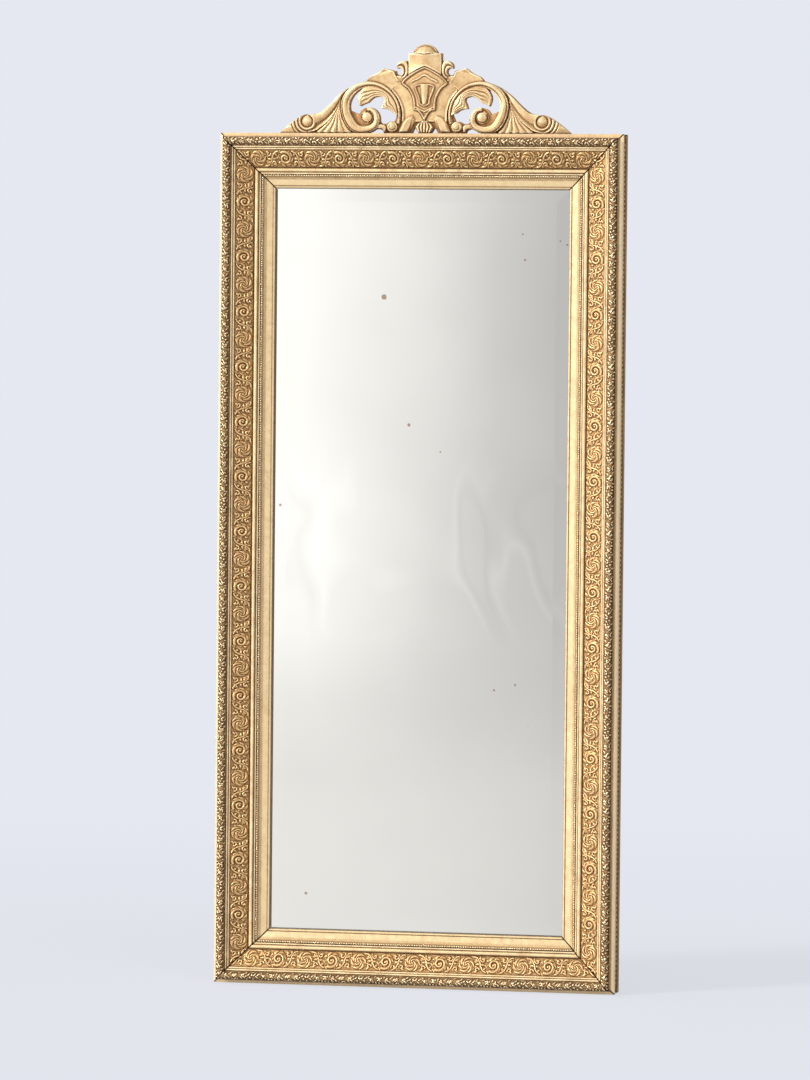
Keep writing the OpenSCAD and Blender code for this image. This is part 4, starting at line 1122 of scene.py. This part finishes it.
# ---------- room, light, camera
PHOTO_H = 1080
VIEW_AZIMUTH = 0.2
VIEW_ELEVATION = 0.039
VIEW_ROLL = 0.0096
VIEW_DISTANCE = 12.0
FOCAL_PX = 6131
SENSOR = 36.0
VIEW_TARGET = Vector((-0.0231, FRONT * MM + 0.022, 0.8803))
BACKDROP = srgb("E5E8F0")
ROOM_LIGHT = srgb("F7EFE6")
FLOOR_PAPER = srgb("6A6D74")
FLOOR_GLOW = 0.78
FLOOR_REACH = 400
CARD_Y = -2.6
CARD_WHITE = srgb("FFFEFB")
CARD_PLAIN = srgb("F8F8F8")
CARD_STRENGTH = 1.18


def build_camera():
    data = bpy.data.cameras.new("camera")
    data.sensor_fit = "VERTICAL"
    data.sensor_height = data.sensor_width = SENSOR
    data.lens = SENSOR * FOCAL_PX / PHOTO_H
    data.clip_end = 200
    cam = add_object("camera", data)
    turn = Matrix.Rotation(VIEW_AZIMUTH, 4, "Z") @ Matrix.Rotation(math.pi / 2 - VIEW_ELEVATION, 4, "X")
    turn = turn @ Matrix.Rotation(VIEW_ROLL, 4, "Z")
    cam.matrix_world = Matrix.Translation(VIEW_TARGET) @ turn @ Matrix.Translation((0, 0, VIEW_DISTANCE))
    bpy.context.scene.camera = cam


def plain_sheet(name, corners, material):
    """One flat sheet of the stage."""
    mesh = bpy.data.meshes.new(name)
    mesh.from_pydata(corners, [], [(0, 1, 2, 3)])
    mesh.materials.append(material)
    obj = add_object(name, mesh)
    return obj


def sun(name, towards, strength, spread, colour):
    """Soft light from one direction, even over the whole floor."""
    data = bpy.data.lights.new(name, "SUN")
    data.energy = strength
    data.angle = math.radians(spread)
    data.color = colour
    add_object(name, data).rotation_euler = Vector(towards).to_track_quat("Z", "Y").to_euler()


def build_world():
    """Room light from the upper left; the camera sees an even backdrop."""
    world = bpy.data.worlds.new("studio")
    world.use_nodes = True
    bpy.context.scene.world = world
    n = Nodes(world.node_tree)
    across = n.rescale(n.axis(0, "Generated"), -0.9, 0.8, 1.15, 0.1)
    level = n.times(across, n.rescale(n.axis(2, "Generated"), -0.6, 0.7, 0.25, 1.15))
    seen = n.add("LightPath", {}, "Is Camera Ray")
    background = n.tree.nodes["Background"]
    n.put(background.inputs["Color"], n.mix(seen, ROOM_LIGHT, BACKDROP))
    n.put(background.inputs["Strength"], n.add("Mix", {0: seen, 2: level, 3: 1.0}, data_type="FLOAT"))


def build_floor():
    """Paper that fades into the backdrop away from the mirror."""
    n = Finish("floor_paper")
    away = n.add("VectorMath", {0: n.point()}, "Value", operation="LENGTH")
    far = n.ramp(n.times(away, 0.1), (0.08, 0), (0.45, 1))
    n.surface(n.mix(far, FLOOR_PAPER, BLACK), 0.95)
    n.glow(n.mix(far, n.mix(FLOOR_GLOW, BLACK, BACKDROP), BACKDROP), 1.0)
    corners = [(-1, -1, 0), (1, -1, 0), (1, 1, 0), (-1, 1, 0)]
    floor = plain_sheet("floor", [Vector(corner) * FLOOR_REACH for corner in corners], n.material)
    floor.visible_glossy = False


def card_tone(n):
    """Brightness of the reflector: white up on the left, grey to the right, a softer step
    lower down and a few folds, so that the old plate shows the tones of a lit room."""
    drift = n.times(n.minus(n.noise(1.6, 3), 0.5), 0.24)
    across = n.plus(n.plus(n.axis(0), 1.0), drift)
    upper = n.ramp(across, (0.2, 1), (0.48, 0.78), (0.66, 0.61), (0.86, 0.5))
    lower = n.ramp(across, (0.1, 0.765), (0.5, 0.71), (0.85, 0.62))
    high = n.plus(n.times(n.axis(2), 0.5), n.times(drift, 0.2))
    share = n.ramp(high, (0.1, 0), (0.17, 0.3), (0.3, 0.85), (0.42, 1))
    step = n.ramp(high, (0, 1), (0.07, 0.99), (0.13, 0.955), (0.19, 0.93), (0.27, 0.965))
    fold = n.ramp(n.noise(2.3, 1, n.stretch(1.5, 1, 1.0), 0.5, 1.1),
                  (0.38, 0.93), (0.44, 0.88), (0.49, 0.93), (0.53, 1), (0.58, 0.93))
    folded = n.ramp(high, (0.26, 0), (0.32, 1), (0.42, 1), (0.5, 0))
    tone = n.mix(1.0, n.mix(share, lower, upper), step, "MULTIPLY")
    return n.mix(1.0, tone, n.mix(folded, CARD_PLAIN, fold), "MULTIPLY")


def build_reflector():
    """A bright cloth before the mirror that only shows in gloss."""
    n = Finish("reflector_cloth")
    n.surface(BLACK, 1.0)
    n.glow(n.mix(1.0, card_tone(n), CARD_WHITE, "MULTIPLY"), CARD_STRENGTH)
    corners = [(-6, CARD_Y, -3), (5, CARD_Y, -3), (5, CARD_Y, 5), (-6, CARD_Y, 5)]
    card = plain_sheet("reflector", corners, n.material)
    card.visible_camera = card.visible_diffuse = card.visible_shadow = False


def build_room():
    bpy.context.scene.view_settings.view_transform = "Standard"
    build_world()
    build_floor()
    build_reflector()
    sun("key", (-0.75, -0.68, 0.4), 2.8, 12, (1.0, 0.96, 0.9))
    sun("fill", (0.6, -0.8, 0.3), 0.8, 30, (1.0, 0.97, 0.93))


materials = make_materials()
build_camera()
build_room()
build_ornament(materials)
build_crest(materials)
dress_nodes(materials)
